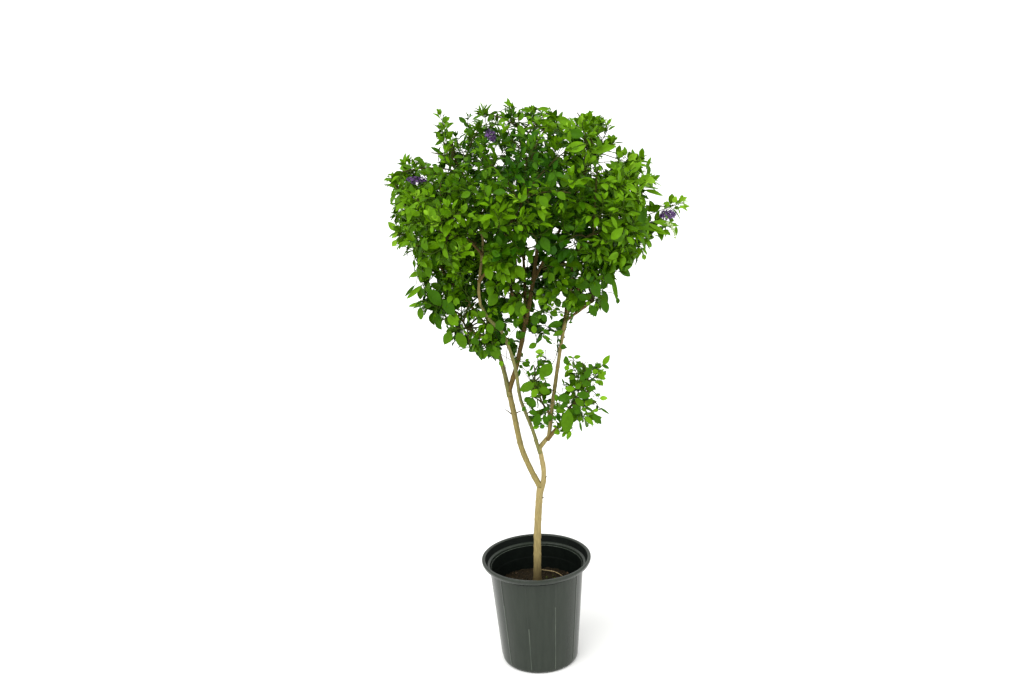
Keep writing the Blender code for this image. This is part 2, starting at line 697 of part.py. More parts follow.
class Foliage:
    """One mass: a stem, its twigs and its leaves, each kept only where there is room for it."""

    def __init__(self, name, limbs, limb_tree):
        self.name = name
        self.bough, _, self.twig_count, self.leaf_scale = MASSES[name]
        self.space = Space(name)
        self.limb_tree = limb_tree
        self.rng = random.Random(name)
        self.limb = limbs[self.bough]
        self.stem = None
        self.stem_shape = None
        self.twigs = []
        self.leaves = []
        self.blossom = []

    def grow_stem(self):
        """The stem, from 0.3 mm past its bough's tip up to the middle of the mass and a little on."""
        way = self.limb.ways[-1]
        start = self.limb.route[-1] + way * GAP
        heart = self.space.centre
        length = np.linalg.norm(heart - start)
        away = np.array((heart[0], heart[1], STEM_CREST_RISE))
        top = heart + unit((heart - start) / 2 + away) * STEM_CREST
        halfway = (start + heart) / 2 + way * length * STEM_EASE
        self.stem = np.array((start, start + way * length * STEM_LEAD, halfway, heart, top))
        along = distances(self.stem)
        radii = np.interp(along, (0, along[-1]), (self.limb.radii[-1], TWIG_RADIUS[0]))
        self.stem_shape = sweep(self.stem, radii, STEM_SIDES, way)

    def grow_twigs(self):
        """Twigs from the stem to points spread evenly over the outside of the space."""
        outside = []
        inside = []
        for way in directions(AIMS):
            point, open_air = self.space.edge(way)
            (outside if open_air else inside).append(point)
        inner_count = max(1, self.twig_count // INNER_SHARE)
        targets = spread_out(outside, self.twig_count - inner_count, self.stem[0])
        targets += spread_out(inside, inner_count, self.stem[-1])
        rise = unit(self.stem[-1] - self.stem[0])
        along = distances(self.stem)
        for target in targets:
            target = target + unit(self.space.centre - target) * TWIG_TIP_DEPTH
            reach = target - self.stem[0]
            level = np.dot(reach, rise) - TWIG_SLANT * np.linalg.norm(np.cross(reach, rise))
            level = min(max(level, TWIG_ROOTS[0] * along[-1]), TWIG_ROOTS[1] * along[-1])
            start = point_at(self.stem, along, level)
            lift = np.array((0.0, 0.0, TWIG_RISE * np.linalg.norm(target - start)))
            route = bend(start, (start + target) / 2 + lift, target, TWIG_STEPS)
            turn = self.rng.uniform(0, 2 * math.pi / TWIG_SIDES)
            for share in TWIG_TRIES:
                tried = start + (route - start) * share
                shape = sweep(tried, np.linspace(*TWIG_RADIUS, len(tried)), TWIG_SIDES, turn=turn)
                if self.space.holds(shape[0]) and not tree_of(shape).overlap(self.limb_tree):
                    self.twigs.append((tried, shape))
                    break

    def try_leaf(self, root, out, length, own, others):
        """A leaf from the root near the wanted way, loosened and shortened until it fits, or none."""
        outward = np.array((root[0], root[1], 0.0)) / max(AXIS_REACH, math.hypot(root[0], root[1]))
        face = outward * OUTWARD_FACING + np.array((0.0, 0.0, UPWARD_FACING))
        for attempt in range(LEAF_TRIES):
            loose = attempt / LEAF_TRIES
            noise = np.array([self.rng.uniform(-1, 1) for _ in range(3)])
            way = unit(out + noise * (LEAF_NOISE[0] + LEAF_NOISE[1] * loose))
            size = length * (1 - LEAF_SHRINK * loose)
            sunk = root - way * LEAF_SUNK
            shape = leaf_shape(sunk, way, face + noise * FACE_NOISE, size, size * LEAF_WIDTH)
            if not self.space.holds(shape[0]):
                continue
            tree = tree_of(shape)
            if not tree.overlap(self.limb_tree) and not any(tree.overlap(other) for other in others):
                self.leaves.append((own, shape))
                return

    def grow_leaves(self):
        """Opposite pairs of leaves, every pair turned from the last, from each twig's tip inwards."""
        droop = np.array((0.0, 0.0, LOW_DROOP if self.space.centre[2] < LOW_HEIGHT else HIGH_DROOP))
        angles = [self.rng.uniform(0, math.pi) for _ in self.twigs]
        for level in range(LEAF_LEVELS):
            for own, (route, _) in enumerate(self.twigs):
                along = distances(route)
                place = along[-1] - LEAF_TIP_PLACE - level * LEAF_SPACING
                enough = len(self.leaves) >= LEAVES_PER_TWIG * len(self.twigs)
                if enough or place < LEAF_LAST_PLACE * along[-1]:
                    continue
                root = point_at(route, along, place)
                way = unit(route[-1] - route[0])
                across = unit(np.cross(way, (0.0, 0.0, 1.0)) + np.array((1e-5, 0.0, 0.0)))
                other = np.cross(across, way)
                twig_shapes = [shape for index, (_, shape) in enumerate(self.twigs) if index != own]
                taken = [shape for _, shape in self.leaves] + self.blossom
                others = [tree_of(join(shapes)) for shapes in (twig_shapes, taken) if shapes]
                angle = angles[own] + level * math.pi / 2
                outs = [way + droop] if level == 0 else []
                for half in (0.0, math.pi):
                    side = math.cos(angle + half) * across + math.sin(angle + half) * other
                    outs.append(way * math.cos(LEAF_SPREAD) + side * math.sin(LEAF_SPREAD) + droop)
                for out in outs:
                    self.try_leaf(root, out, self.rng.uniform(*LEAF_LENGTH) * self.leaf_scale, own, others)

    def grow_blossom(self):
        """A spike of blossom on a twig of its own, for a mass that has one."""
        for name, place, length, radius in BLOSSOM:
            if name != self.name:
                continue
            place = np.array(place)
            shoulder = min((point for route, _ in self.twigs for point in route[1:-1]),
                           key=lambda point: np.linalg.norm(point - place))
            lift = np.array((0.0, 0.0, TWIG_RISE * np.linalg.norm(place - shoulder)))
            route = bend(shoulder, (shoulder + place) / 2 + lift, place, TWIG_STEPS)
            self.blossom.append(sweep(route, np.linspace(*TWIG_RADIUS, len(route)), TWIG_SIDES))
            self.blossom.append(blossom_shape(place, place - shoulder, length, radius))

    def fuse(self, solver, merge):
        """Stem, twigs, blossom and leaves joined into one closed body by one Boolean union."""
        stem = add_object(self.name, self.stem_shape, "foliage")
        parts = [shape for _, shape in self.twigs] + self.blossom + [shape for _, shape in self.leaves]
        collection = bpy.data.collections.new(self.name + "_parts")
        for index, shape in enumerate(parts):
            add_object(f"{self.name}_{index}", shape, "foliage", collection)
        modifier = stem.modifiers.new("join", "BOOLEAN")
        modifier.operation = "UNION"
        modifier.operand_type = "COLLECTION"
        modifier.collection = collection
        modifier.solver = solver
        bake(stem)
        for thing in list(collection.objects):
            bpy.data.objects.remove(thing)
        bpy.data.collections.remove(collection)
        keep_main_body(stem, merge)
        return stem

    def build(self):
        """Grow the mass and fuse it, in another way where the first leaves an open edge."""
        self.grow_stem()
        self.grow_twigs()
        self.grow_blossom()
        self.grow_leaves()
        for solver, merge in FUSE_TRIES:
            fused = self.fuse(solver, merge)
            if is_closed(fused):
                return fused
            bpy.data.objects.remove(fused)
        raise ValueError(self.name + " doesn't close")


def main():
    """Build the pot, soil, limbs and foliage."""
    clear_scene()
    make_pot()
    make_soil()
    limbs = plan_limbs()
    make_limbs(limbs)
    limb_tree = tree_of(join([limb.shape(LIMB_MARGIN) for limb in limbs.values()]))
    for name in MASSES:
        Foliage(name, limbs, limb_tree).build()


main()
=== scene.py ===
"""Potted duranta column: the looks of a young flowering shrub grown as a small tree, in its nursery pot.

It is a Blender 4.5 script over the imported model, laid out as an add-on. Metres, +Z up, -Y the front.
"""

import math

import bpy
import numpy as np
from bpy.props import FloatProperty, FloatVectorProperty, IntProperty, PointerProperty
from mathutils import Matrix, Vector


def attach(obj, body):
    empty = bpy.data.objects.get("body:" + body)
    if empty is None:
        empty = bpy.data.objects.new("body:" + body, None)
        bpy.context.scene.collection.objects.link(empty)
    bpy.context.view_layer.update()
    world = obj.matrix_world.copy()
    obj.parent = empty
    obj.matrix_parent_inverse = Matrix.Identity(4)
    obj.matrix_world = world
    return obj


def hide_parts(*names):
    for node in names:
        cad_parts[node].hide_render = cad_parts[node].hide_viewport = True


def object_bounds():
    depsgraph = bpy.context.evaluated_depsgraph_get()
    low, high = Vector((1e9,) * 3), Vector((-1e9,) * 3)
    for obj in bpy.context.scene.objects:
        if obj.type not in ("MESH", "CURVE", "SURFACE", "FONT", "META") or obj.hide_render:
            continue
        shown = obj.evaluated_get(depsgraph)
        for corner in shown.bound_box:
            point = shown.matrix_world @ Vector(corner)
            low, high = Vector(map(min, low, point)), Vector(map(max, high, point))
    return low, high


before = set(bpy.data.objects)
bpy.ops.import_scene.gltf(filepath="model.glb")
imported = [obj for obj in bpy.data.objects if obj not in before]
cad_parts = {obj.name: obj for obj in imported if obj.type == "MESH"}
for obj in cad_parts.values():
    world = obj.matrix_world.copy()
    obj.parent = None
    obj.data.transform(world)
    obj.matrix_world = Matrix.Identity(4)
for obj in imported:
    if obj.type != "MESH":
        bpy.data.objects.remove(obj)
CAD_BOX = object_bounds()

bl_info = {
    "name": "Potted duranta",
    "version": (1, 0, 0),
    "blender": (4, 5, 0),
    "location": "View3D > Sidebar > Plant",
    "description": "Builds the pot, soil, bark, twigs, leaves and blossom of a potted duranta",
    "category": "Add Mesh",
}


def srgb(code):
    """A hex colour as linear numbers: ((c + 0.055) / 1.055) ** 2.4, or c / 12.92 where it is dark."""
    values = np.array([int(code[i:i + 2], 16) for i in (0, 2, 4)]) / 255
    return tuple(np.where(values > 0.04045, ((values + 0.055) / 1.055) ** 2.4, values / 12.92).tolist())


# Sizes that the solids have too

GAP = 0.0003
# Pot
POT_HEIGHT = 0.254
RIM_RADIUS = 0.125
RIM_INNER_RADIUS = 0.118
RIM_BAND = 0.016
RIM_ROLL = ((0.0040, 0.0125), (0.0, 0.0045), (0.0018, 0.0))  # inset from the rim and drop from the top
SHOULDER_RADIUS = 0.107
BASE_RADIUS = 0.0875
BASE_EDGE = 0.010
INNER_CORNER = 0.006
FLOOR_THICKNESS = 0.003
WALL_THICKNESS = 0.0022
LEDGE_HEIGHT = 0.233
LEDGE_RADIUS = 0.1035
LEDGE_FUNNEL = (0.0070, 0.0020)  # how far out and up the slope above the ledge starts
LEDGE_LIP = 0.0004
STACKING_RING_HEIGHT = 0.205
STACKING_RING_STEP = 0.0010
STACKING_RING_HALF = 0.0010
RIB_COUNT = 10
RIB_HEIGHT = 0.0011
RIB_FIRST_ANGLE = math.radians(-69)
DRAIN_HOLES = 6
DRAIN_RADIUS = 0.006
DRAIN_RING_RADIUS = 0.066

# Soil, with the old root ball standing a little proud of it
SOIL_HEIGHT = 0.187
SOIL_EDGE_HEIGHT = 0.178
SOIL_CLEARANCE = GAP + 0.0001
ROOT_BALL_RADIUS = 0.056
TRUNK_SEAT_RADIUS = 0.018

# Trunk
TRUNK_ROUTE = ((0.0, 0.0, SOIL_HEIGHT + GAP), (0.0015, 0.0, 0.225), (0.005, 0.0, 0.308), (0.009, 0.0, 0.362),
               (0.013, 0.0, 0.402), (0.016, 0.0, 0.426))
TRUNK_RADIUS = (0.0088, 0.0076)
FLARE = 0.0045
FLARE_FADE = 0.012

# Boughs: parent, whether it carries on from the parent's end, radius at both ends in tenths of a millimetre, and
# its route in millimetres
BOUGHS = {
    "left_bough": ("trunk", True, (63, 62), ((16, 0, 426), (-4, 10, 467), (-23, 15, 521), (-35, 25, 593),
        (-44, 30, 648))),
    "right_stem": ("trunk", False, (57, 52), ((15, 0, 412), (23.5, -1, 438), (25, -3, 471), (21, -6, 503),
        (18, -10, 525))),
    "right_fork_limb": ("right_stem", True, (50, 48), ((18, -10, 525), (28, -12, 538), (40, -15, 554))),
    "slender_stem": ("right_stem", False, (41, 31), ((19, -9, 513), (12, -14, 538), (4, -20, 573), (-19, -30, 647),
        (-26, -35, 711), (-36, -45, 761), (-53, -55, 812), (-77, -60, 841), (-96, -64, 878))),
    "slender_stem_upper": ("slender_stem", True, (31, 26), ((-96, -64, 878), (-97, -68, 915), (-91, -71, 957),
        (-83, -75, 1016), (-86, -72, 1050))),
    "right_bough": ("right_fork_limb", True, (46, 36), ((40, -15, 554), (50, -10, 622), (63, 0, 695), (79, 5, 780),
        (93, 10, 831), (106, 15, 867))),
    "low_right_bough": ("right_fork_limb", False, (45, 30), ((36, -14, 546), (63, -25, 581), (82, -35, 617))),
    "central_leader": ("left_bough", True, (56, 32), ((-44, 30, 648), (-26, 35, 700), (-11, 40, 756), (9, 50, 839),
        (25, 55, 919), (36, 60, 998), (34, 55, 1080))),
    "left_upper_bough": ("left_bough", False, (54, 40), ((-43, 29, 636), (-55, 35, 704), (-68, 45, 748),
        (-88, 52, 795))),
    "left_outer_bough": ("left_upper_bough", True, (36, 26), ((-88, 52, 795), (-130, 45, 862), (-170, 25, 925),
        (-192, 10, 975))),
    "left_low_bough": ("left_upper_bough", False, (32, 26), ((-74, 47, 762), (-98, 24, 780), (-122, 0, 803))),
    "back_left_bough": ("left_upper_bough", False, (34, 26), ((-72, 47, 758), (-88, 85, 810), (-115, 120, 880))),
    "back_bough": ("central_leader", False, (36, 26), ((-3, 44, 788), (2, 85, 870), (2, 125, 950), (0, 150, 1030))),
    "middle_bough": ("central_leader", False, (30, 24), ((0, 45, 802), (-18, 36, 838), (-28, 30, 876))),
    "upper_right_bough": ("central_leader", False, (34, 26), ((19, 53, 890), (50, 55, 945), (90, 45, 1020),
        (120, 30, 1085))),
    "front_bough": ("slender_stem_upper", False, (30, 24), ((-96, -69, 930), (-66, -95, 975), (-35, -120, 1040))),
    "front_left_bough": ("slender_stem_upper", False, (28, 24), ((-86, -73, 990), (-105, -100, 1020))),
    "right_outer_bough": ("right_bough", True, (34, 26), ((106, 15, 867), (145, 12, 918), (185, 5, 975))),
    "right_low_bough": ("right_bough", False, (30, 24), ((87, 8, 812), (112, -20, 838), (140, -35, 862))),
    "back_right_bough": ("right_bough", False, (34, 26), ((84, 7, 800), (95, 60, 850), (115, 110, 905))),
    "front_right_bough": ("right_bough", False, (32, 24), ((99, 12, 848), (98, -35, 900), (100, -90, 955))),
    "inner_shoot": ("right_bough", False, (26, 22), ((47, -12, 598), (34, -14, 622))),
}
COLLAR = 0.0016  # how much wider a bough is where it leaves its parent
COLLAR_FADE = 0.010

# Shape of the whole head of leaves: height, then how far it reaches to the left, right, front and back there
CROWN = np.array((
    (702, 100, 60, 30, 50), (730, 165, 75, 40, 70), (780, 215, 105, 65, 110), (835, 240, 175, 80, 155),
    (900, 262, 210, 105, 200), (960, 262, 270, 150, 235), (1030, 285, 300, 225, 260), (1125, 292, 298, 255, 265),
    (1175, 272, 270, 240, 250), (1205, 190, 215, 215, 220), (1250, 170, 190, 170, 175),
    (1288, 110, 130, 100, 90))) / 1000
CROWN_SQUARENESS = 2.4  # 2 gives an ellipse at each height
# Ellipsoids that stand out of that shape: the mass that fills each, its centre and its reach
LOBES = {
    "right_mass": np.array(((300, -35, 1052), (62, 55, 52))) / 1000,
    "low_right_mass": np.array(((112, -45, 655), (73, 80, 106))) / 1000,
    "inner_mass": np.array(((14, -8, 672), (50, 62, 112))) / 1000,
}
LOW_MASSES = ("low_right_mass", "inner_mass")  # these have no other room

# Masses of foliage: the bough that carries each, the middle of its space in millimetres and its number of twigs
MASSES = {
    "top_mass": ("central_leader", (5, 30, 1205), 9),
    "upper_left_mass": ("slender_stem_upper", (-125, -30, 1170), 9),
    "upper_right_mass": ("upper_right_bough", (150, 10, 1165), 9),
    "left_mass": ("left_outer_bough", (-210, 15, 1040), 8),
    "right_mass": ("right_outer_bough", (220, 10, 1030), 10),
    "front_mass": ("front_bough", (0, -160, 1110), 8),
    "back_mass": ("back_bough", (0, 180, 1110), 9),
    "front_left_mass": ("front_left_bough", (-145, -145, 1050), 7),
    "front_right_mass": ("front_right_bough", (125, -145, 1030), 7),
    "left_low_mass": ("left_low_bough", (-145, -10, 845), 10),
    "right_low_mass": ("right_low_bough", (140, -25, 895), 8),
    "back_left_mass": ("back_left_bough", (-125, 145, 960), 8),
    "back_right_mass": ("back_right_bough", (130, 140, 970), 8),
    "middle_mass": ("middle_bough", (-15, 30, 935), 7),
    "low_right_mass": ("low_right_bough", (112, -45, 655), 7),
    "inner_mass": ("inner_shoot", (14, -8, 672), 7),
}
CELL_MARGIN = 0.001  # kept clear on each side of the wall between two masses

# Twigs and leaves, larger than life
TWIG_RADIUS = (0.0020, 0.0015)
TWIG_TIP_DEPTH = 0.028  # how far below the crown's outline a twig ends
TWIG_RISE = 0.15  # how far a twig arches, of its length
TWIG_STEPS = 8
TWIG_SPARE = 0.002  # how far a twig may stand past the front outline, where it is cut
TWIG_LEAST = 3  # points of a twig that are never cut
TWIG_SLANT = 0.5  # how far below its tip a twig leaves the stem, of its reach away from the stem
TWIG_ROOTS = (0.12, 0.97)  # the part of the stem that twigs leave
INNER_SHARE = 6  # one twig in so many goes to a wall between two masses
AIMS = 400
STEM_LEAD = 0.25
STEM_EASE = 0.10
STEM_CREST = 0.035  # how far the stem goes on past the middle of the mass
STEM_CREST_RISE = 0.08
AXIS_REACH = 0.05  # leaves nearer to the plant's axis than this face up more than out

# Blossom: place of the cluster, how steep its axis is, length and radius, number of florets, share of dark ones
# painted as shade
BLOSSOM = (
    ((-0.055, -0.105, 1.242), 0.12, 0.026, 0.013, 34, 0.45),
    ((-0.213, -0.060, 1.150), 0.02, 0.040, 0.010, 34, 0.45),
    ((0.307, -0.050, 1.050), 0.02, 0.032, 0.013, 68, 0.7),
)

# What only the looks have

WAVE_COUNT = 14  # sines in a smooth noise
GOLDEN_ANGLE = math.pi * (3 - math.sqrt(5))
ALONG_LIMB = (1.0, 1.0, 0.14)  # scale of a bark's pattern in x, y and z, which draws it out along a limb

POT_COLUMNS = 400
RIB_SOFTNESS = math.radians(0.75)
# How high up each rib the painted highlight runs
PAINTED_HIGHLIGHT_HEIGHTS = np.array((0.172, 0.205, 0.15, 0.10, 0.18, 0.13, 0.16, 0.11, 0.165, 0.12))
BARK_SIDES = 22
BARK_STEP = 0.0026
BARK_RELIEF = 0.00022
END_BULGE = 0.0005  # how far a limb's end is drawn out to a point
BUD_RING_SPACING = 0.043
BUD_RING_HEIGHT = 0.00034
BUD_RING_LENGTH = 0.0028
TRUNK_SCARS = ((0.093, 0.0, 0.0007), (0.034, 2.4, 0.0004), (0.190, 1.2, 0.0006))  # along, angle, height
THORNS = np.array((  # two points each, in tenths of a millimetre
    ((-420, 180, 5985), (-560, 100, 6135)), ((-290, 160, 6010), (-180, 100, 6065)),
    ((-80, -260, 6130), (-135, -200, 6215)), ((-50, -260, 6140), (30, -300, 6205)),
    ((230, -10, 4420), (330, -80, 4560)), ((190, -20, 3990), (245, -60, 4040)))) / 10000
THORN_RADIUS = 0.0015

SHOOT_RADIUS = (0.0011, 0.0006)
SHOOT_STEPS = 5
SHOOT_SLANT = 0.55  # how much a shoot avoids turning back along its twig
SHOOT_LEAD = 0.30  # how far a shoot follows its twig's way at first
SHOOT_PULL = 0.3  # and how far it turns to its tip
SHOOT_HEIGHTS = (0.60, 0.74, 0.85, 1.02, 1.20)
SHOOT_RISES = (-0.05, -0.05, 0.20, 0.05, -0.16)  # at those heights: low shoots arch over, high ones turn up
SINK_COSTS = (0.3, 0.3, 0.0, 0.3, 0.9)
SHOOT_LEAST = 0.014
SHOOT_SPARE = 0.003  # how far a shoot may stand past the outline
CANDIDATES = 4200
MOST_SHOOTS = 600  # of a mass
CLEFT_DEPTH = 0.16  # how much lower the crown is over the wall between two masses
CLEFT_WIDTH = 0.045
CORE_ROOM = ((0.25, 0.85), (2.1, 1.0))  # shares of the crown's radius, and how much wider apart shoots are there
HEIGHT_ROOM = ((0.72, 0.85, 0.98, 1.08), (1.15, 1.0, 1.0, 1.0))  # heights, and how much wider apart shoots are there
LOW_ROOM = 0.95  # the same for the two low masses
TIP_DEPTH = 0.012  # how far inside of the outline shoots end

BLADE_ROWS = 7
BLADE_COLUMNS = 5
FOLD = (0.10, 0.45)  # least and most, as are the next two
CURL = (0.02, 0.26)
WAVE = (0.0, 0.035)
BLADE_PEAK = 0.86  # below 1 the widest place lies nearer to the stalk
PAIR_PLACES = (0.001, 0.006, 0.013, 0.022, 0.034, 0.048, 0.064, 0.082)  # from the tip: a tuft, then wider apart
PETIOLE = 0.0055
PETIOLE_RADIUS = 0.00055
PAIR_SIZES = (0.40, 0.62, 0.84, 1.0, 1.0, 1.0, 0.92, 0.88)
LEAF_DROOP = ((0.60, 0.72, 0.84, 1.00, 1.12, 1.25), (0.0, -0.15, -0.60, -0.40, -0.05, 0.25))  # heights, droop
LEAF_FACING = ((0.60, 0.85, 1.00, 1.12, 1.25), (1.0, 1.1, 0.65, 0.25, 0.05))  # heights, how far they face out
LEAF_RISE = 0.9  # how far they face up
LEAF_CHANCE = (0.10, 0.36)  # how far a leaf's way and its upper side stray
LEAF_ROUNDNESS = ((0.80, 1.00, 1.20), (1.16, 1.0, 0.84))  # heights, width beside the others
BARE_BASE = 0.12  # the share of a shoot that carries no leaves
LOST_LEAVES = 0.04  # the share of leaves that have dropped
SPREAD_CHANCE = 0.12
PAIR_SPREADS = (22, 36, 48, 56, 62, 66, 70, 72)  # degrees from the shoot
WOOD_STEP = 0.006  # between the points that leaves keep clear of and single leaves start from
LEAF_CLEARANCE = 0.0005
LEAVES_AT_ONCE = 500
SECOND_TRY = 0.68  # the length of a leaf that did not fit, when it is tried again
PROBE_WIDTH = 0.45  # how far to each side a leaf is tried, of its width
STALK_OVERLAP = 0.001  # how far a stalk runs into its blade
TWIG_THICKNESS = (0.0019, 0.0011)
LONE_STEM_RADIUS = (0.0008, 0.0006)
LONE_STEM_RISE = (0, 0, 0.006)
LONE_LEAF_UPPER = (0.0, -1.0, 0.45)  # where a single leaf's upper side faces
LONE_LEAF_CHANCE = 0.14  # and how far it strays from that
BARE_TWIG_RADIUS = (0.0008, 0.0005)
REACH_SPARE = 0.011  # how far a leaf may stand past the outline
BOX_SPARE = 0.022  # how far a leaf may stand past the solids' box
LOBE_SPARE = (1.1, 0.004)  # how much wider than its ellipsoid a lobe's leaves may stand: factor and distance
DEPTH_SPARE = 1.05  # how much deeper and wider than the solids' crown the leaves may stand
# The foliage's outline as seen from the front, from a point at eye height 3 m away: x and z in the trunk's plane
EYE = (-0.033, -2.967, 1.691)
OUTLINE_CELL = 0.002
OUTLINE_MARGIN = 0.040
OUTLINE = np.array((
    (-17, 1295), (6, 1285), (62, 1281), (84, 1259), (111, 1253), (128, 1266), (153, 1265), (171, 1252), (190, 1249),
    (193, 1219), (212, 1186), (260, 1169), (275, 1151), (289, 1115), (291, 1089), (281, 1074), (283, 1065),
    (294, 1060), (311, 1077), (341, 1080), (351, 1074), (356, 1060), (333, 1033), (336, 1013), (331, 998),
    (299, 998), (282, 989), (260, 949), (238, 941), (227, 904), (203, 896), (204, 855), (177, 827), (149, 822),
    (128, 846), (107, 831), (86, 793), (81, 764), (89, 742), (113, 732), (126, 709), (166, 719), (175, 713),
    (178, 696), (161, 651), (172, 631), (167, 601), (153, 569), (124, 571), (80, 540), (56, 552), (20, 560),
    (-10, 600), (-30, 660), (-45, 700), (-65, 727), (-78, 738), (-97, 738), (-123, 757), (-142, 762), (-159, 778),
    (-181, 778), (-187, 804), (-206, 830), (-232, 836), (-236, 861), (-256, 873), (-259, 889), (-239, 917),
    (-252, 954), (-249, 976), (-279, 1003), (-276, 1027), (-283, 1045), (-272, 1118), (-281, 1148), (-253, 1157),
    (-246, 1181), (-232, 1192), (-197, 1182), (-184, 1186), (-179, 1205), (-162, 1221), (-164, 1240), (-175, 1257),
    (-168, 1274), (-153, 1275), (-142, 1266), (-136, 1249), (-126, 1246), (-87, 1265), (-77, 1290), (-61, 1289),
    (-36, 1275))) / 1000

# Long shoots that stand out of the head of leaves, in millimetres: where each starts, x and height of its middle
# and of its tip, leaf size and tone
SPRIG_FORWARD = (0, 14, 20)  # how far its three points stand before its start
SPRIGS = (
    (-149, 0, 1184, -149, 1226, -159, 1280, 27, 3), (-111, -10, 1184, -124, 1215, -128, 1234, 20, 1),
    (-61, -30, 1236, -65, 1265, -68, 1287, 30, 3), (-5, 10, 1236, -7, 1265, -16, 1288, 26, 3),
    (-95, 0, 1228, -102, 1253, -99, 1269, 20, 2), (-216, 5, 1133, -226, 1161, -229, 1185, 23, 3),
    (-248, 20, 1121, -262, 1137, -274, 1146, 21, 3), (127, 10, 1209, 151, 1234, 174, 1247, 26, 3),
    (174, 10, 1199, 186, 1222, 190, 1242, 22, 4), (137, -10, 1155, 179, 1183, 199, 1207, 28, 3),
    (213, -10, 1123, 241, 1152, 257, 1170, 34, 3), (219, -30, 1112, 256, 1120, 277, 1124, 36, 3),
    (240, -20, 1037, 302, 1059, 337, 1071, 31, 4), (232, -25, 1017, 273, 1022, 300, 1014, 26, 3),
    (42, 10, 1234, 37, 1260, 31, 1276, 24, 3), (87, -40, 1236, 80, 1257, 62, 1271, 30, 3))

# Places where the sky shows through: x, height and both radii in the trunk's plane, seen from the same point as
# the outline, in tenths of a millimetre
SKY_OPENINGS = (
    (430, 7440, 122, 201), (1920, 11770, 140, 96), (830, 8700, 100, 75), (460, 8120, 114, 107),
    (1600, 11390, 100, 47), (2240, 11630, 78, 74), (1100, 9880, 52, 81), (840, 6810, 48, 122),
    (1880, 11530, 60, 83), (-320, 8900, 73, 44), (2110, 10410, 83, 37), (2570, 9660, 69, 43), (-240, 9930, 52, 57),
    (-1140, 11970, 45, 84), (-390, 11680, 48, 64), (-2390, 9800, 73, 46), (2870, 10000, 74, 45),
    (2690, 11280, 59, 42), (-340, 8750, 53, 55), (2690, 10870, 57, 38), (1580, 6190, 64, 37), (-90, 11210, 41, 49),
    (1640, 11690, 46, 46), (160, 9780, 36, 54), (-340, 12570, 67, 26), (2720, 11410, 38, 50), (1390, 8870, 39, 47),
    (290, 7820, 33, 55), (-2180, 11800, 55, 32), (2230, 11390, 43, 40), (1450, 8550, 48, 36), (1790, 11370, 38, 42),
    (1470, 10170, 45, 34), (-1000, 12430, 34, 42), (60, 7470, 150, 460), (1810, 11610, 100, 90),
    (-230, 6050, 170, 560), (700, 8360, 160, 180), (-460, 7270, 120, 420), (-2370, 8980, 140, 280),
    (510, 7780, 180, 130), (790, 7220, 140, 250), (-310, 7960, 90, 260), (210, 5540, 120, 180),
    (-110, 6900, 100, 200), (1840, 8700, 100, 200), (480, 6910, 120, 220), (1810, 12200, 90, 130),
    (-1220, 12300, 100, 140), (-20, 9480, 120, 100), (1010, 5680, 100, 140), (190, 9890, 70, 150),
    (-1780, 11820, 90, 140), (-2390, 9560, 80, 150), (-2100, 8440, 100, 90), (2770, 10490, 100, 200),
    (2710, 10840, 120, 80), (2070, 9130, 100, 90), (690, 6580, 100, 80), (220, 6260, 70, 100),
    (1510, 6540, 60, 120), (880, 11840, 70, 100), (1090, 9870, 70, 90), (-680, 12580, 110, 70),
    (1440, 6320, 90, 80), (740, 10170, 80, 90), (-160, 9050, 60, 90), (-1950, 9150, 80, 120),
    (-1810, 8140, 60, 130), (-430, 11900, 60, 90), (-1490, 11610, 80, 60), (1380, 8850, 50, 100),
    (1570, 6000, 80, 90))
# Places where a limb shows, because no leaf stands nearer to the front than the last number: the same
LIMB_OPENINGS = (
    (-980, 9000, 100, 500, -640), (-940, 9850, 80, 350, -700), (-600, 8120, 220, 200, -500),
    (280, 9300, 80, 450, 500), (100, 8500, 90, 400, 500), (-100, 7620, 100, 450, 400), (-300, 6900, 120, 300, 300),
    (820, 8000, 100, 400, 50), (660, 7150, 90, 450, 0), (520, 6350, 90, 500, -100), (360, 5600, 120, 300, -100),
    (1150, 6550, 850, 1150, -550), (140, 6900, 600, 1300, -360), (-560, 12255, 150, 140, -1000),
    (-2170, 11390, 220, 110, -550), (3130, 10400, 160, 140, -450))

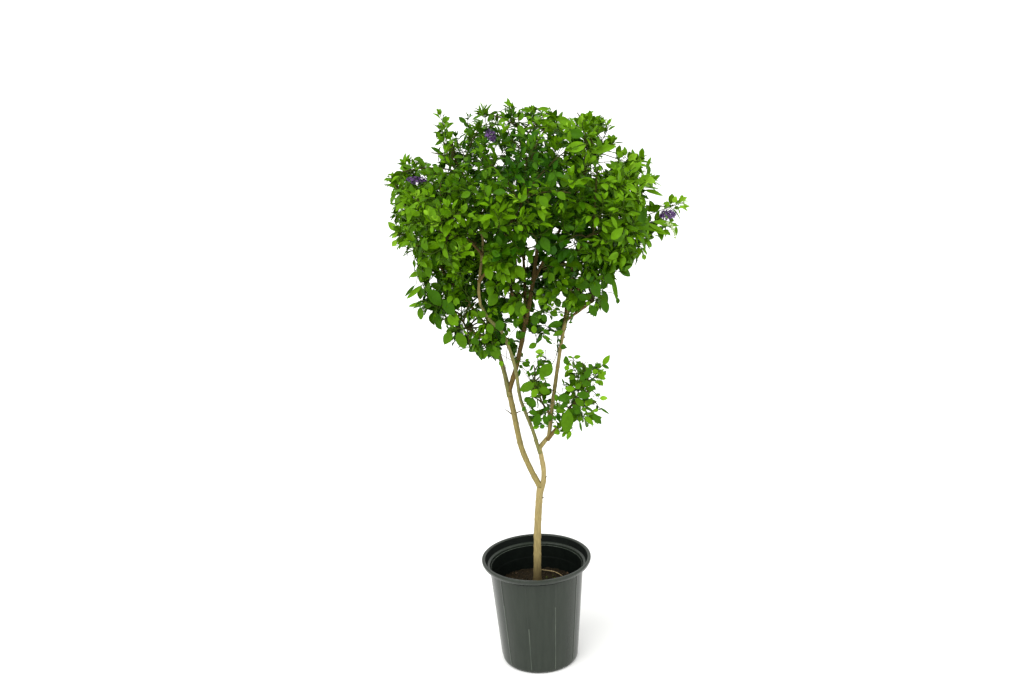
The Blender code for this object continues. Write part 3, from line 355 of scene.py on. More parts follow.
# Large or free-standing leaves, in millimetres. Each group starts with how far the tips stand before the feet. Then
# each leaf has its foot, its tip's x and height, its tone, and its width in hundredths of its length
LONE_LEAVES = ((3, (
    (204, -20, 934, 231, 910, 1, 45), (-222, -20, 912, -225, 881, 2, 47), (166, -20, 886, 181, 853, 1, 36),
    (-266, -20, 1036, -282, 1058, 4, 52), (55, -62, 629, 79, 632, 2, 60), (51, -45, 849, 71, 840, 2, 59),
    (-234, -20, 916, -260, 889, 1, 19), (282, -20, 1032, 292, 1055, 3, 35), (82, -62, 734, 82, 755, 1, 60),
    (-266, -20, 1016, -277, 1003, 4, 67), (-194, -45, 838, -181, 821, 1, 51), (265, -20, 1067, 272, 1050, 3, 59),
    (-262, -20, 1036, -278, 1019, 4, 34), (-14, -20, 885, -7, 867, 2, 52), (327, -20, 1018, 327, 994, 3, 33),
    (257, -20, 960, 259, 946, 4, 73), (-268, -20, 1105, -266, 1126, 3, 42), (88, -62, 579, 76, 565, 3, 48),
    (63, -20, 1218, 70, 1230, 1, 79), (-233, -20, 972, -232, 954, 2, 41), (-44, -45, 814, -43, 799, 1, 60),
    (-7, -20, 965, -10, 951, 2, 71), (80, -62, 721, 87, 735, 3, 71), (51, -45, 786, 32, 798, 2, 33),
    (-20, -45, 812, -20, 790, 1, 37), (270, -20, 1030, 272, 1047, 3, 54), (198, -45, 873, 197, 859, 1, 64),
    (4, -45, 586, 20, 590, 3, 53), (21, -45, 726, 21, 707, 1, 36), (312, -20, 1034, 323, 1029, 3, 75),
    (84, -62, 633, 95, 623, 1, 48), (56, -62, 669, 59, 648, 2, 34), (26, -45, 707, 33, 694, 3, 51),
    (50, -62, 619, 55, 606, 1, 50), (-95, -20, 882, -83, 874, 1, 42), (-119, -45, 808, -123, 796, 2, 65),
    (-38, -20, 1277, -55, 1274, 1, 38), (323, -20, 1057, 336, 1057, 3, 66), (-170, -20, 1172, -183, 1173, 1, 47),
    (268, -50, 1083, 287, 1052, 2, 20), (273, -60, 1039, 333, 1028, 3, 19), (264, -60, 1027, 306, 1010, 3, 24),
    (251, -55, 1096, 267, 1086, 1, 33), (96, -55, 874, 90, 850, 1, 68), (105, -60, 866, 133, 885, 1, 55),
    (102, -58, 853, 122, 866, 1, 54), (66, -50, 881, 73, 857, 1, 61), (38, -45, 846, 41, 825, 1, 60),
    (18, -40, 848, 21, 814, 1, 56), (16, -38, 819, 17, 799, 3, 61), (33, -46, 811, 53, 798, 1, 41),
    (-22, -30, 836, -22, 810, 3, 52), (56, -45, 851, 48, 865, 3, 44), (58, -48, 854, 68, 849, 3, 50),
    (62, -46, 857, 75, 853, 2, 50), (55, -45, 860, 61, 870, 3, 55), (48, -43, 848, 40, 854, 2, 62),
    (1, -30, 865, -8, 855, 2, 49), (7, -30, 854, -1, 843, 3, 49), (73, -48, 845, 81, 838, 3, 59),
    (95, -52, 845, 102, 836, 1, 54), (91, -50, 824, 100, 826, 1, 49), (-58, -85, 849, -55, 822, 1, 75),
    (-41, -50, 820, -34, 809, 2, 53), (-81, -80, 840, -73, 816, 2, 63), (-13, -34, 734, 0, 724, 2, 53),
    (-5, -34, 739, 6, 731, 1, 57), (27, -40, 755, 17, 760, 3, 59), (28, -40, 755, 37, 759, 4, 69),
    (25, -40, 752, 18, 745, 3, 64), (22, -40, 735, 24, 721, 1, 44), (-119, -60, 802, -101, 789, 1, 62),
    (-105, -50, 782, -113, 766, 2, 61), (112, -62, 881, 106, 902, 1, 70), (-22, -50, 881, -34, 873, 2, 54),
    (11, -36, 730, 4, 713, 1, 31), (33, -40, 792, 23, 787, 1, 41), (93, -58, 884, 78, 903, 1, 65),
    (125, -62, 877, 141, 889, 2, 64), (99, -60, 678, 114, 689, 2, 62), (151, -58, 692, 159, 681, 2, 70),
    (111, -62, 696, 122, 711, 1, 70), (130, -58, 732, 140, 720, 1, 66), (100, -54, 697, 89, 710, 2, 54),
    (115, -56, 717, 106, 725, 1, 65), (139, -64, 683, 128, 672, 1, 83), (68, -66, 653, 76, 672, 1, 85),
    (120, -62, 649, 131, 637, 3, 78), (97, -70, 633, 105, 622, 1, 78), (58, -54, 629, 54, 642, 1, 74),
    (112, -66, 635, 123, 627, 2, 67), (137, -62, 714, 151, 718, 3, 73), (157, -60, 712, 169, 708, 3, 65),
    (151, -62, 708, 166, 698, 3, 52), (143, -60, 689, 155, 694, 3, 72), (4, -40, 674, -7, 683, 1, 72),
    (29, -46, 643, 39, 651, 1, 76), (4, -40, 682, 17, 691, 2, 53), (35, -40, 680, 46, 686, 1, 64),
    (-12, -46, 649, 3, 658, 1, 76), (13, -46, 636, 3, 646, 1, 83), (30, -50, 594, 19, 587, 1, 83),
    (46, -50, 617, 37, 602, 1, 74))),
    (4, (
    (142, -120, 1201, 201, 1213, 3, 27), (133, -170, 1225, 88, 1217, 3, 49), (109, -80, 1259, 69, 1268, 3, 27),
    (132, -140, 1239, 90, 1247, 1, 48), (-4, -20, 1286, -27, 1298, 3, 30), (30, -30, 1275, 6, 1284, 2, 32),
    (43, -30, 1280, 71, 1281, 3, 32), (253, -80, 1135, 282, 1128, 4, 54), (257, -70, 1109, 297, 1096, 3, 23),
    (237, -110, 1092, 250, 1043, 1, 52), (262, -60, 1036, 302, 1015, 3, 20), (224, -60, 1170, 245, 1184, 4, 55),
    (214, -60, 1177, 202, 1190, 3, 67), (265, -30, 1144, 274, 1172, 3, 28), (234, -90, 1123, 270, 1148, 3, 31),
    (185, -60, 929, 198, 863, 2, 16), (163, -60, 875, 176, 842, 1, 52), (136, -60, 865, 150, 838, 1, 61),
    (78, -50, 824, 45, 820, 1, 48), (79, -50, 806, 55, 798, 2, 46), (139, -90, 930, 159, 885, 1, 52),
    (101, -90, 927, 140, 912, 1, 54), (110, -75, 889, 135, 882, 1, 57), (92, -60, 879, 76, 860, 1, 52),
    (168, -80, 939, 187, 910, 1, 53), (126, -100, 957, 144, 925, 0, 64), (-218, -40, 920, -255, 890, 3, 23),
    (-220, -40, 881, -253, 875, 3, 26), (-225, -40, 872, -225, 841, 2, 46), (-220, -40, 949, -243, 940, 3, 48),
    (-162, -50, 818, -178, 789, 2, 60), (-149, -55, 816, -131, 777, 2, 54), (-191, -50, 860, -182, 830, 1, 45),
    (-204, -80, 922, -174, 881, 1, 50), (-174, -80, 897, -147, 860, 1, 52), (-57, -90, 906, -82, 882, 2, 69),
    (-25, -50, 839, -20, 817, 1, 45), (-99, -40, 770, -91, 746, 2, 64), (35, -250, 1143, 50, 1120, 2, 62),
    (11, -250, 1145, -7, 1134, 2, 50), (70, -250, 1149, 85, 1133, 2, 68), (-99, -235, 1154, -119, 1145, 2, 59),
    (-169, -20, 1255, -147, 1245, 2, 29), (-146, -20, 1263, -139, 1272, 3, 76),
    (-153, -20, 1227, -174, 1213, 2, 32), (-159, -20, 1195, -182, 1213, 1, 29),
    (-270, -10, 1147, -287, 1144, 3, 28), (-266, -10, 1154, -276, 1157, 3, 37),
    (-241, -10, 1179, -249, 1188, 3, 53), (-235, -10, 1185, -226, 1197, 3, 40),
    (-220, -10, 1183, -204, 1190, 2, 45), (189, -20, 1210, 205, 1212, 3, 33), (187, -10, 1238, 197, 1252, 4, 41),
    (179, -10, 1243, 175, 1255, 3, 53), (319, -45, 1073, 325, 1088, 4, 67), (333, -45, 1077, 348, 1085, 4, 46),
    (329, -45, 1063, 355, 1066, 4, 26), (312, -45, 1069, 297, 1075, 3, 67), (336, -45, 1082, 337, 1090, 4, 88))),
    (3, (
    (161, -55, 727, 177, 750, 3, 46), (159, -52, 727, 177, 717, 1, 39), (143, -60, 726, 158, 733, 1, 50),
    (148, -58, 713, 168, 705, 3, 43), (149, -64, 703, 168, 699, 3, 44), (152, -58, 695, 161, 680, 3, 52),
    (123, -62, 699, 132, 726, 1, 56), (99, -50, 745, 115, 749, 3, 54), (96, -50, 746, 86, 749, 3, 51),
    (94, -50, 731, 82, 731, 3, 56), (101, -52, 729, 118, 725, 1, 38), (98, -52, 716, 84, 716, 3, 54),
    (99, -56, 702, 85, 701, 2, 60), (114, -64, 694, 136, 686, 1, 54), (134, -60, 682, 146, 674, 1, 63),
    (91, -66, 661, 57, 658, 1, 51), (77, -60, 679, 100, 678, 3, 55), (102, -70, 668, 133, 663, 1, 54),
    (98, -62, 656, 120, 637, 2, 53), (152, -55, 651, 171, 652, 4, 56), (143, -55, 657, 154, 663, 2, 56),
    (152, -50, 628, 174, 612, 1, 19), (149, -62, 627, 135, 626, 3, 60), (136, -58, 619, 156, 589, 1, 38),
    (117, -62, 615, 141, 590, 3, 32), (107, -56, 602, 111, 572, 1, 18), (82, -66, 635, 77, 567, 2, 40),
    (59, -58, 624, 64, 601, 0, 48), (92, -64, 643, 111, 619, 1, 53), (83, -64, 651, 64, 634, 1, 48),
    (127, -66, 642, 135, 658, 2, 66), (52, -48, 733, 23, 704, 2, 67), (21, -40, 778, 2, 769, 2, 64),
    (34, -42, 762, 15, 760, 4, 51), (24, -42, 751, 34, 751, 3, 67), (40, -36, 785, 56, 773, 1, 31),
    (-3, -36, 804, -18, 789, 1, 59), (72, -30, 767, 85, 762, 1, 90), (-11, -36, 736, 6, 726, 1, 48),
    (-5, -36, 739, 3, 743, 2, 68), (26, -40, 741, 21, 728, 1, 52), (5, -36, 707, 16, 713, 1, 51),
    (2, -36, 716, -5, 708, 1, 56), (12, -46, 689, -25, 674, 2, 53), (21, -50, 677, 47, 669, 2, 67),
    (18, -52, 678, 3, 659, 3, 61), (36, -44, 686, 49, 682, 0, 57), (7, -48, 658, -2, 636, 1, 96),
    (-2, -46, 626, 17, 618, 1, 61), (19, -52, 622, 8, 587, 1, 48), (29, -48, 617, 38, 590, 1, 45),
    (-9, -40, 635, -18, 625, 1, 60), (29, -42, 693, 23, 687, 0, 77), (39, -44, 634, 30, 622, 0, 55),
    (-89, -36, 769, -98, 746, 3, 64), (-71, -44, 777, -66, 749, 2, 82), (-60, -30, 740, -56, 726, 3, 71),
    (-39, -28, 788, -26, 781, 1, 63), (-18, -20, 716, -21, 698, 0, 39), (-83, -34, 789, -94, 779, 2, 80),
    (-98, -34, 789, -104, 774, 1, 78))))
# Bare hanging twigs: three points each, in tenths of a millimetre
BARE_TWIGS = np.array((
    ((-700, 300, 7900), (-610, 40, 7750), (-567, 0, 7420)),
    ((-420, 200, 7750), (-440, 20, 7500), (-494, 0, 7080)),
    ((560, -120, 6600), (200, -280, 6520), (-150, -300, 7220)))) / 10000

# Where the foliage is painted darker as shade or lighter as light: x, height and radius in millimetres, and how much
# in hundredths
PATCHES = (
    (109, 1005, 70, -35), (58, 1020, 50, -35), (-100, 985, 50, 60), (260, 1130, 90, 2), (110, 640, 90, 28),
    (170, 900, 60, -15), (-10, 906, 40, 25), (52, 1166, 50, -45), (-60, 870, 80, 15), (-90, 1270, 30, 50),
    (0, 1280, 30, 20), (-122, 1183, 40, -25), (-20, 1190, 50, -50), (140, 1220, 30, 35), (240, 1165, 50, 5),
    (310, 1060, 40, 55), (-36, 948, 60, 10), (60, 1270, 30, 25), (20, 660, 60, 25), (-190, 1112, 40, 28),
    (47, 1109, 40, 35), (95, 1190, 30, 35), (-47, 1020, 40, -25), (-208, 883, 40, -30), (-130, 1080, 40, 12),
    (160, 780, 50, 65), (-15, 1204, 40, -40), (70, 1210, 40, -35), (-15, 1055, 40, -35), (157, 831, 30, -45),
    (-190, 790, 50, -35), (-250, 1060, 70, -12), (-15, 1130, 30, 30), (60, 1055, 40, -30), (240, 1200, 40, 30),
    (243, 1130, 30, 30), (100, 700, 40, 20), (330, 1050, 30, 25), (-186, 1055, 40, -28), (-60, 930, 70, 22),
    (70, 757, 40, -45), (30, 1210, 50, -25), (-15, 1050, 30, -15), (340, 1055, 30, 20))
# Where the leaves are larger or smaller, and where wider or narrower: the same
SIZE_PATCHES = ((240, 1080, 100, 40), (-100, 1200, 120, -14), (90, 650, 100, 12), (-150, 820, 100, 15))
WIDTH_PATCHES = ((250, 1080, 120, -28), (100, 660, 80, -20), (0, 1260, 120, -12))
# Where shoots stand wider apart: the same
ROOM_PATCHES = ((260, 1100, 90, 25), (-170, 1200, 40, 25), (200, 920, 50, 15))
# The next three paint light and shade into the leaves' tones: sprays lighter where light falls on the crown's outside
# and top, darker inside it.
OUTER_PAINTED_LIGHT = 1.2  # how much lighter a spray is at the outside than at the axis
UPPER_PAINTED_LIGHT = 0.7  # and for each metre of height
ALL_LIGHT = 0.16  # and everywhere
TONE_STEPS = (-0.18, 0.16, 0.54, 1.14)
TONE_NOISE = (0.14, 0.08)  # from spray to spray, and from leaf to leaf
TONE_PAIRS = (0.34, 0.24, 0.12, 0.0, 0.0, 0.0, -0.06, -0.1)  # how much lighter each pair is, from the tip

FLORET_RADIUS = 0.0046
# Raceme of buds: its route, number of buds and their radius
BUD_RACEME = (((0.296, -0.060, 1.034), (0.312, -0.062, 1.029), (0.321, -0.062, 1.001)), 30, 0.0025)

SOIL_SEED = 3
SOIL_ROWS = 66
CRUMB_COUNT = 700
SOIL_COLUMNS = 180
MOSS_PLACE = (0.018, 0.016, 0.030)  # x, y and radius
ROOT_LEAST = 0.1848  # the stiff root does not sink below this height
PALE_ROOT = ((0.006, 0.074, 0.185), (0.0385, 0.0601, 0.185), (0.056, 0.040, 0.185), (0.060, 0.026, 0.185))

FLOOR_RADII = (1.5, 6.0, 40.0)
FLOOR_SIDES = 96
CAMERA_PLACE = (-0.0332, -2.9668, 1.6910)
CAMERA_PITCH = math.radians(17.1787)
CAMERA_ROLL = math.radians(2.7258)
CAMERA_LENS = 50.0
CAMERA_SENSOR = 36.0

TONES = ("shade", "deep", "mid", "fresh", "lime")
LEAF_PIECES = {  # from low to high, and the masses that each stands for
    "low_leaves": ("left_low_mass", "right_low_mass", "middle_mass", "low_right_mass", "inner_mass",
                   "back_left_mass", "back_right_mass"),
    "middle_leaves": ("left_mass", "right_mass", "front_left_mass", "front_right_mass", "front_mass", "back_mass"),
    "top_leaves": ("top_mass", "upper_left_mass", "upper_right_mass"),
}


def colour_setting(name, description, code):
    """A colour that the user can change, from a hex code."""
    return FloatVectorProperty(name=name, description="Colour of " + description, subtype="COLOR", size=3, min=0,
                               max=1, default=srgb(code))


def length_setting(name, description, default, low, high):
    """A length that the user can change."""
    return FloatProperty(name=name, description=description, default=default, min=low, max=high, unit="LENGTH",
                         subtype="DISTANCE")


class PotSettings(bpy.types.PropertyGroup):
    """The pot and its soil."""
    # The plastic inside the pot is painted almost black as the shade that falls there.
    plastic: colour_setting("Plastic", "the inner plastic, painted almost black as shade", "090D0A")
    wall: colour_setting("Wall", "the scuffed wall", "20271F")
    dust: colour_setting("Dust", "the dry film on the wall", "2B3129")
    soil: colour_setting("Soil", "the moist potting mix", "15120A")
    rib_height: length_setting("Rib height", "How far the mould ribs stand out", RIB_HEIGHT, 0, 0.003)


class BarkSettings(bpy.types.PropertyGroup):
    """Trunk, boughs and twigs."""
    trunk: colour_setting("Trunk", "the old bark", "A49360")
    foot: colour_setting("Foot", "the darker foot of the trunk", "4C4024")
    bough: colour_setting("Boughs", "the half bleached bark", "948650")
    leader: colour_setting("Leader", "the brown boughs", "75602F")
    twig: colour_setting("Twigs", "the older twigs", "4A4822")
    shoot: colour_setting("Shoots", "the green shoots", "3C5214")
    relief: length_setting("Relief", "Depth of the bark's streaks", BARK_RELIEF, 0, 0.002)


class LeafSettings(bpy.types.PropertyGroup):
    """Leaves."""
    length: length_setting("Leaf length", "Length of a full-grown leaf", 0.031, 0.015, 0.08)
    width: FloatProperty(name="Leaf width", description="Width of a leaf, of its length", default=0.56,
                         min=0.3, max=0.9, subtype="FACTOR")
    spacing: length_setting("Shoot spacing", "Distance between the tips of shoots", 0.0247, 0.018, 0.08)
    seed: IntProperty(name="Seed", description="Another number grows another crown", default=7, min=0)
    # Leaf tones: the darker ones stand for leaves that are old and for painted shade inside the crown, the lighter
    # ones for leaves that are young and for painted light at its outside and top.
    shade: colour_setting("Inner leaves", "leaves deep in the crown", "285500")
    deep: colour_setting("Old and shaded leaves", "leaves that are old, and of leaves in painted shade", "376200")
    mid: colour_setting("Leaves", "most leaves", "497302")
    fresh: colour_setting("Young and lit leaves", "leaves that are young, and of leaves in painted light", "608E06")
    lime: colour_setting("Leaf tips", "the newest leaf tips, and of leaves in the brightest painted light", "80AE22")


class BlossomSettings(bpy.types.PropertyGroup):
    """Blossom and buds."""
    petal: colour_setting("Petals", "the petals", "5E3A76")
    # A darker violet, painted on some florets as shade.
    shaded_petal: colour_setting("Dark petals", "the shaded petals", "2C1742")
    bud: colour_setting("Buds", "the green buds", "B9CF8E")


class StageSettings(bpy.types.PropertyGroup):
    """Floor and light."""
    floor: colour_setting("Floor", "the floor", "F4F4F2")
    sky: FloatProperty(name="Sky", description="Strength of the light from all round", default=1.0, min=0, max=5)
    key: FloatProperty(name="Key", description="Strength of the light from above", default=2.3, min=0, max=20)
    fill: FloatProperty(name="Fill", description="Strength of the light from the right", default=0.8, min=0, max=20)


# Materials

def add_node(tree, kind, values=(), links=(), **settings):
    """Add a node: settings are its own, values go on its sockets and links come into them."""
    node = tree.nodes.new(kind)
    for name, value in settings.items():
        setattr(node, name, value)
    for socket, value in dict(values).items():
        node.inputs[socket].default_value = value
    for socket, source in dict(links).items():
        tree.links.new(source, node.inputs[socket])
    return node


def patterned(name, first, second, scale, stretch=(1.0, 1.0, 1.0), roughness=0.5, bump=0.0, spread=(0.35, 0.65),
              specular=0.5, foot=None):
    """A material that goes between two colours by a noise, with a bump from the same noise.

    second may be a factor that makes the first colour darker or lighter. scale is the pattern's repeats in a metre,
    so 1 / scale is the size of one blotch. foot gives a colour, and the heights up to which it is plain and from
    which it is gone.
    """
    if isinstance(second, float):
        second = [min(1.0, channel * second) for channel in first]
    material = bpy.data.materials.new(name)
    material.use_nodes = True
    tree = material.node_tree
    shader = tree.nodes["Principled BSDF"]
    shader.inputs["Roughness"].default_value = roughness
    shader.inputs["Specular IOR Level"].default_value = specular
    place = add_node(tree, "ShaderNodeTexCoord")
    turned = add_node(tree, "ShaderNodeMapping", {"Scale": stretch}, {"Vector": place.outputs["Object"]})
    noise = add_node(tree, "ShaderNodeTexNoise", {"Scale": scale, "Detail": 5.0, "Roughness": 0.6},
                     {"Vector": turned.outputs["Vector"]})
    share = add_node(tree, "ShaderNodeMapRange", {"From Min": spread[0], "From Max": spread[1]},
                     {"Value": noise.outputs["Fac"]})
    colour = add_node(tree, "ShaderNodeMix", {6: (*first, 1.0), 7: (*second, 1.0)}, {0: share.outputs["Result"]},
                      data_type="RGBA")
    if foot:
        height = add_node(tree, "ShaderNodeSeparateXYZ", links={0: place.outputs["Object"]})
        fade = add_node(tree, "ShaderNodeMapRange", {"From Min": foot[1], "From Max": foot[2]},
                        {"Value": height.outputs["Z"]})
        colour = add_node(tree, "ShaderNodeMix", {6: (*foot[0], 1.0)}, {0: fade.outputs["Result"],
                          7: colour.outputs[2]}, data_type="RGBA")
    tree.links.new(colour.outputs[2], shader.inputs["Base Color"])
    if bump:
        relief = add_node(tree, "ShaderNodeBump", {"Strength": 0.6, "Distance": bump},
                          {"Height": noise.outputs["Fac"]})
        tree.links.new(relief.outputs["Normal"], shader.inputs["Normal"])
    return material


# Shapes as whole arrays

def unit(vectors):
    """Vectors at length one: v / |v|."""
    vectors = np.asarray(vectors, float)
    return vectors / np.maximum(np.linalg.norm(vectors, axis=-1, keepdims=True), 1e-12)


def make_piece(name, points, faces, materials, tones=None, smooth=True):
    """A piece from points and blocks of faces, where tones gives each block's material or materials."""
    faces = [block.reshape(-1, block.shape[-1]) for block in faces]
    mesh = bpy.data.meshes.new(name)
    mesh.vertices.add(len(points))
    mesh.vertices.foreach_set("co", np.ascontiguousarray(points, np.float32).ravel())
    corners = np.concatenate([block.ravel() for block in faces])
    sizes = np.concatenate([np.full(len(block), block.shape[1]) for block in faces])
    mesh.loops.add(len(corners))
    mesh.loops.foreach_set("vertex_index", corners.astype(np.int32))
    mesh.polygons.add(len(sizes))
    mesh.polygons.foreach_set("loop_start", np.append(0, np.cumsum(sizes)[:-1]).astype(np.int32))
    for material in materials:
        mesh.materials.append(material)
    if tones is not None:
        index = np.concatenate([np.broadcast_to(tone, len(block)) for tone, block in zip(tones, faces)])
        mesh.polygons.foreach_set("material_index", index.astype(np.int32))
    mesh.polygons.foreach_set("use_smooth", np.full(len(sizes), smooth))
    mesh.update(calc_edges=True)
    piece = bpy.data.objects.new(name, mesh)
    bpy.context.scene.collection.objects.link(piece)
    return piece


def seat(piece, slot, *nodes):
    """Let the piece move with the plant and stand for CAD nodes. slot is not used."""
    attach(piece, "root")
    if nodes:
        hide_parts(*nodes)
    return piece


def tangents(routes):
    """Directions along routes of any number: the mean of the steps before and after each point."""
    steps = unit(np.diff(routes, axis=-2))
    middle = steps[..., :-1, :] + steps[..., 1:, :]
    return unit(np.concatenate((steps[..., :1, :], middle, steps[..., -1:, :]), axis=-2))


def distances(route):
    """The distance along the route to each of its points."""
    return np.append(0.0, np.cumsum(np.linalg.norm(np.diff(route, axis=0), axis=1)))


def sideways(ways, helper):
    """Two directions at right angles to each way and to each other: w x h and w x (w x h), at length one."""
    across = unit(np.cross(ways, helper))
    return across, np.cross(ways, across)


def ring_faces(rows, columns):
    """Faces between so many rings of points, with one point before the first ring and one after the last."""
    first = 1 + np.arange(columns)
    following = 1 + (np.arange(columns) + 1) % columns
    steps = (np.arange(rows - 1) * columns)[:, None]
    above = steps + columns
    quads = np.stack((steps + first, steps + following, above + following, above + first), axis=-1)
    last = (rows - 1) * columns
    start, end = np.zeros(columns, int), np.full(columns, 1 + last + columns)
    fans = np.concatenate((np.stack((start, following, first), axis=-1),
                           np.stack((last + first, last + following, end), axis=-1)))
    return quads.reshape(-1, 4), fans


def tubes(routes, radii, sides):
    """Round limbs along many routes of one length: p + r (a cos t + b sin t), closed by a point at each end."""
    count, length = routes.shape[:2]
    ways = tangents(routes)
    helper = np.where(np.abs(ways[:, length // 2, 2:3]) < 0.8, (0.0, 0.0, 1.0), (0.0, 1.0, 0.0))
    across, other = sideways(ways, helper[:, None, :])
    angles = 2 * np.pi * np.arange(sides) / sides
    ring = across[:, :, None, :] * np.cos(angles)[:, None] + other[:, :, None, :] * np.sin(angles)[:, None]
    rings = routes[:, :, None, :] + radii[:, :, None, None] * ring
    points = np.concatenate((routes[:, :1], rings.reshape(count, -1, 3), routes[:, -1:]), axis=1)
    return points, *ring_faces(length, sides)


def repeated(faces, count, stride):
    """The faces of one shape, for so many copies of it that lie one after another in the points."""
    return (faces[None] + stride * np.arange(count)[:, None, None]).reshape(-1, faces.shape[-1])


def joined_tubes(blocks):
    """Points, faces and materials of blocks of tubes, one after another: routes, radii, sides and material."""
    points, faces, tones = [], [], []
    base = 0
    for routes, radii, sides, tone in blocks:
        copies, *shapes = tubes(routes, radii, sides)
        for shape in shapes:
            faces.append(repeated(shape, len(copies), copies.shape[1]) + base)
            tones.append(np.full(len(faces[-1]), tone))
        points.append(copies.reshape(-1, 3))
        base += len(points[-1])
    return np.vstack(points), faces, tones


def tapered(routes, start, end, sides, tone):
    """A block of tubes whose radii go evenly from start to end."""
    routes = np.array(routes)
    return routes, np.tile(np.linspace(start, end, routes.shape[1]), (len(routes), 1)), sides, tone


def stamp(template, places, frames, scales):
    """Copies of a template: place + scale (x a + y b + z c), with a, b, c the rows of each copy's frame."""
    return places[:, None, :] + scales[:, None, None] * np.einsum("kx,nxd->nkd", template, frames)


def smooth_route(points, steps):
    """Points along a Catmull-Rom curve: (2b + (c-a)t + (2a-5b+4c-d)t^2 + (3b-a-3c+d)t^3) / 2."""
    points = np.array(points, float)
    ends = np.vstack((2 * points[0] - points[1], points, 2 * points[-1] - points[-2]))
    t = (np.arange(steps) / steps)[:, None]
    a, b, c, d = (ends[offset:offset + len(points) - 1, None] for offset in range(4))
    curve = 0.5 * (2 * b + (c - a) * t + (2 * a - 5 * b + 4 * c - d) * t ** 2 + (3 * b - a - 3 * c + d) * t ** 3)
    return np.vstack((curve.reshape(-1, 3), points[-1]))


def along_route(route, along, places):
    """The points at those distances along the route."""
    return np.stack([np.interp(places, along, route[:, axis]) for axis in range(3)], axis=-1)


def evenly(route, step):
    """The route with its points about a step apart."""
    along = distances(route)
    return along_route(route, along, np.linspace(0, along[-1], max(3, int(round(along[-1] / step)))))


def bend(start, middle, end, steps):
    """Points on the curve (1-t)^2 start + 2t(1-t) middle + t^2 end."""
    t = np.linspace(0, 1, steps + 1)[:, None]
    return (1 - t) ** 2 * start + 2 * t * (1 - t) * middle + t ** 2 * end


def waves(points, rng, size):
    """A smooth noise between about -1 and 1: the mean of sin(k.p + f) over waves about so long."""
    ways = unit(rng.normal(size=(WAVE_COUNT, 3))) * 2 * np.pi / size * rng.uniform(0.6, 1.6, (WAVE_COUNT, 1))
    phases = rng.uniform(0, 2 * np.pi, WAVE_COUNT)
    return np.sin(points @ ways.T + phases).sum(axis=-1) * 1.6 / math.sqrt(WAVE_COUNT) / 1.4


# Pot and soil

def wall_radius(height):
    """The pot's outer radius at a height on its tapered wall: a straight line from foot to shoulder."""
    shoulder_height = POT_HEIGHT - RIM_BAND
    share = (height - BASE_EDGE) / (shoulder_height - BASE_EDGE)
    return BASE_RADIUS + (SHOULDER_RADIUS - BASE_RADIUS) * share


def lower_inner_radius(height):
    """The pot's inner radius below its stacking ring."""
    return wall_radius(height) - WALL_THICKNESS - STACKING_RING_STEP


def rounded(corners, cuts, steps):
    """A section with each corner c turned to the curve (1-t)^2 p + 2t(1-t) c + t^2 q, cut off on each side."""
    corners = np.array(corners, float)
    inner = corners[1:-1]
    back = inner + unit(corners[:-2] - inner) * np.array(cuts)[:, None]
    ahead = inner + unit(corners[2:] - inner) * np.array(cuts)[:, None]
    curve = bend(back[:, None], inner[:, None], ahead[:, None], steps)
    return np.vstack((corners[:1], curve.reshape(-1, 2), corners[-1:]))


def turned_piece(section, columns, lift=None):
    """A body turned round the Z axis: (r cos t, r sin t, z), closed by a point on the axis at each end."""
    angles = 2 * np.pi * np.arange(columns) / columns
    radius = section[:, :1] + (lift(section[:, 1:], angles[None, :]) if lift else np.zeros(columns))
    height = np.broadcast_to(section[:, 1:], radius.shape)
    rings = np.stack((radius * np.cos(angles), radius * np.sin(angles), height), axis=-1)
    points = np.vstack(((0, 0, section[0, 1]), rings.reshape(-1, 3), (0, 0, section[-1, 1])))
    return points, *ring_faces(len(section), columns)


def pot_section():
    """The pot's section from the middle of its underside, up the outside and down the inside."""
    foot = BASE_RADIUS - (SHOULDER_RADIUS - BASE_RADIUS) * BASE_EDGE / (POT_HEIGHT - RIM_BAND - BASE_EDGE)
    ring = wall_radius(STACKING_RING_HEIGHT) - WALL_THICKNESS
    rim = [(RIM_RADIUS - inset, POT_HEIGHT - drop) for inset, drop in RIM_ROLL]
    low_inner = lower_inner_radius(FLOOR_THICKNESS)
    corners = [(BASE_RADIUS - 2 * BASE_EDGE, 0.0), (foot, 0.0), (SHOULDER_RADIUS, POT_HEIGHT - RIM_BAND), rim[0],
               rim[1], (RIM_RADIUS, POT_HEIGHT), (RIM_INNER_RADIUS, POT_HEIGHT),
               (LEDGE_RADIUS + LEDGE_FUNNEL[0], LEDGE_HEIGHT + LEDGE_FUNNEL[1]),
               (LEDGE_RADIUS + LEDGE_LIP, LEDGE_HEIGHT + LEDGE_LIP),
               (ring, STACKING_RING_HEIGHT + STACKING_RING_HALF),
               (lower_inner_radius(STACKING_RING_HEIGHT), STACKING_RING_HEIGHT - STACKING_RING_HALF),
               (low_inner, FLOOR_THICKNESS), (low_inner - 3 * INNER_CORNER, FLOOR_THICKNESS)]
    cuts = (BASE_EDGE, 0.0018, 0.0028, 0.0022, 0.0016, 0.0016, 0.0010, 0.0005, 0.0006, 0.0006, INNER_CORNER)
    return rounded(corners, cuts, 5)


def drill(piece, places, radius, depth):
    """Cut upright round holes through the piece."""
    for index, (x, y) in enumerate(places):
        section = np.array(((radius, -depth), (radius, depth)))
        points, quads, fans = turned_piece(section, 24)
        cutter = make_piece("drill", points + (x, y, 0.0), [quads, fans], [], smooth=False)
        cut = piece.modifiers.new(f"drain {index}", "BOOLEAN")
        cut.operation = "DIFFERENCE"
        cut.solver = "EXACT"
        cut.object = cutter
        graph = bpy.context.evaluated_depsgraph_get()
        mesh = bpy.data.meshes.new_from_object(piece.evaluated_get(graph))
        piece.modifiers.clear()
        piece.data = mesh
        bpy.data.objects.remove(cutter)


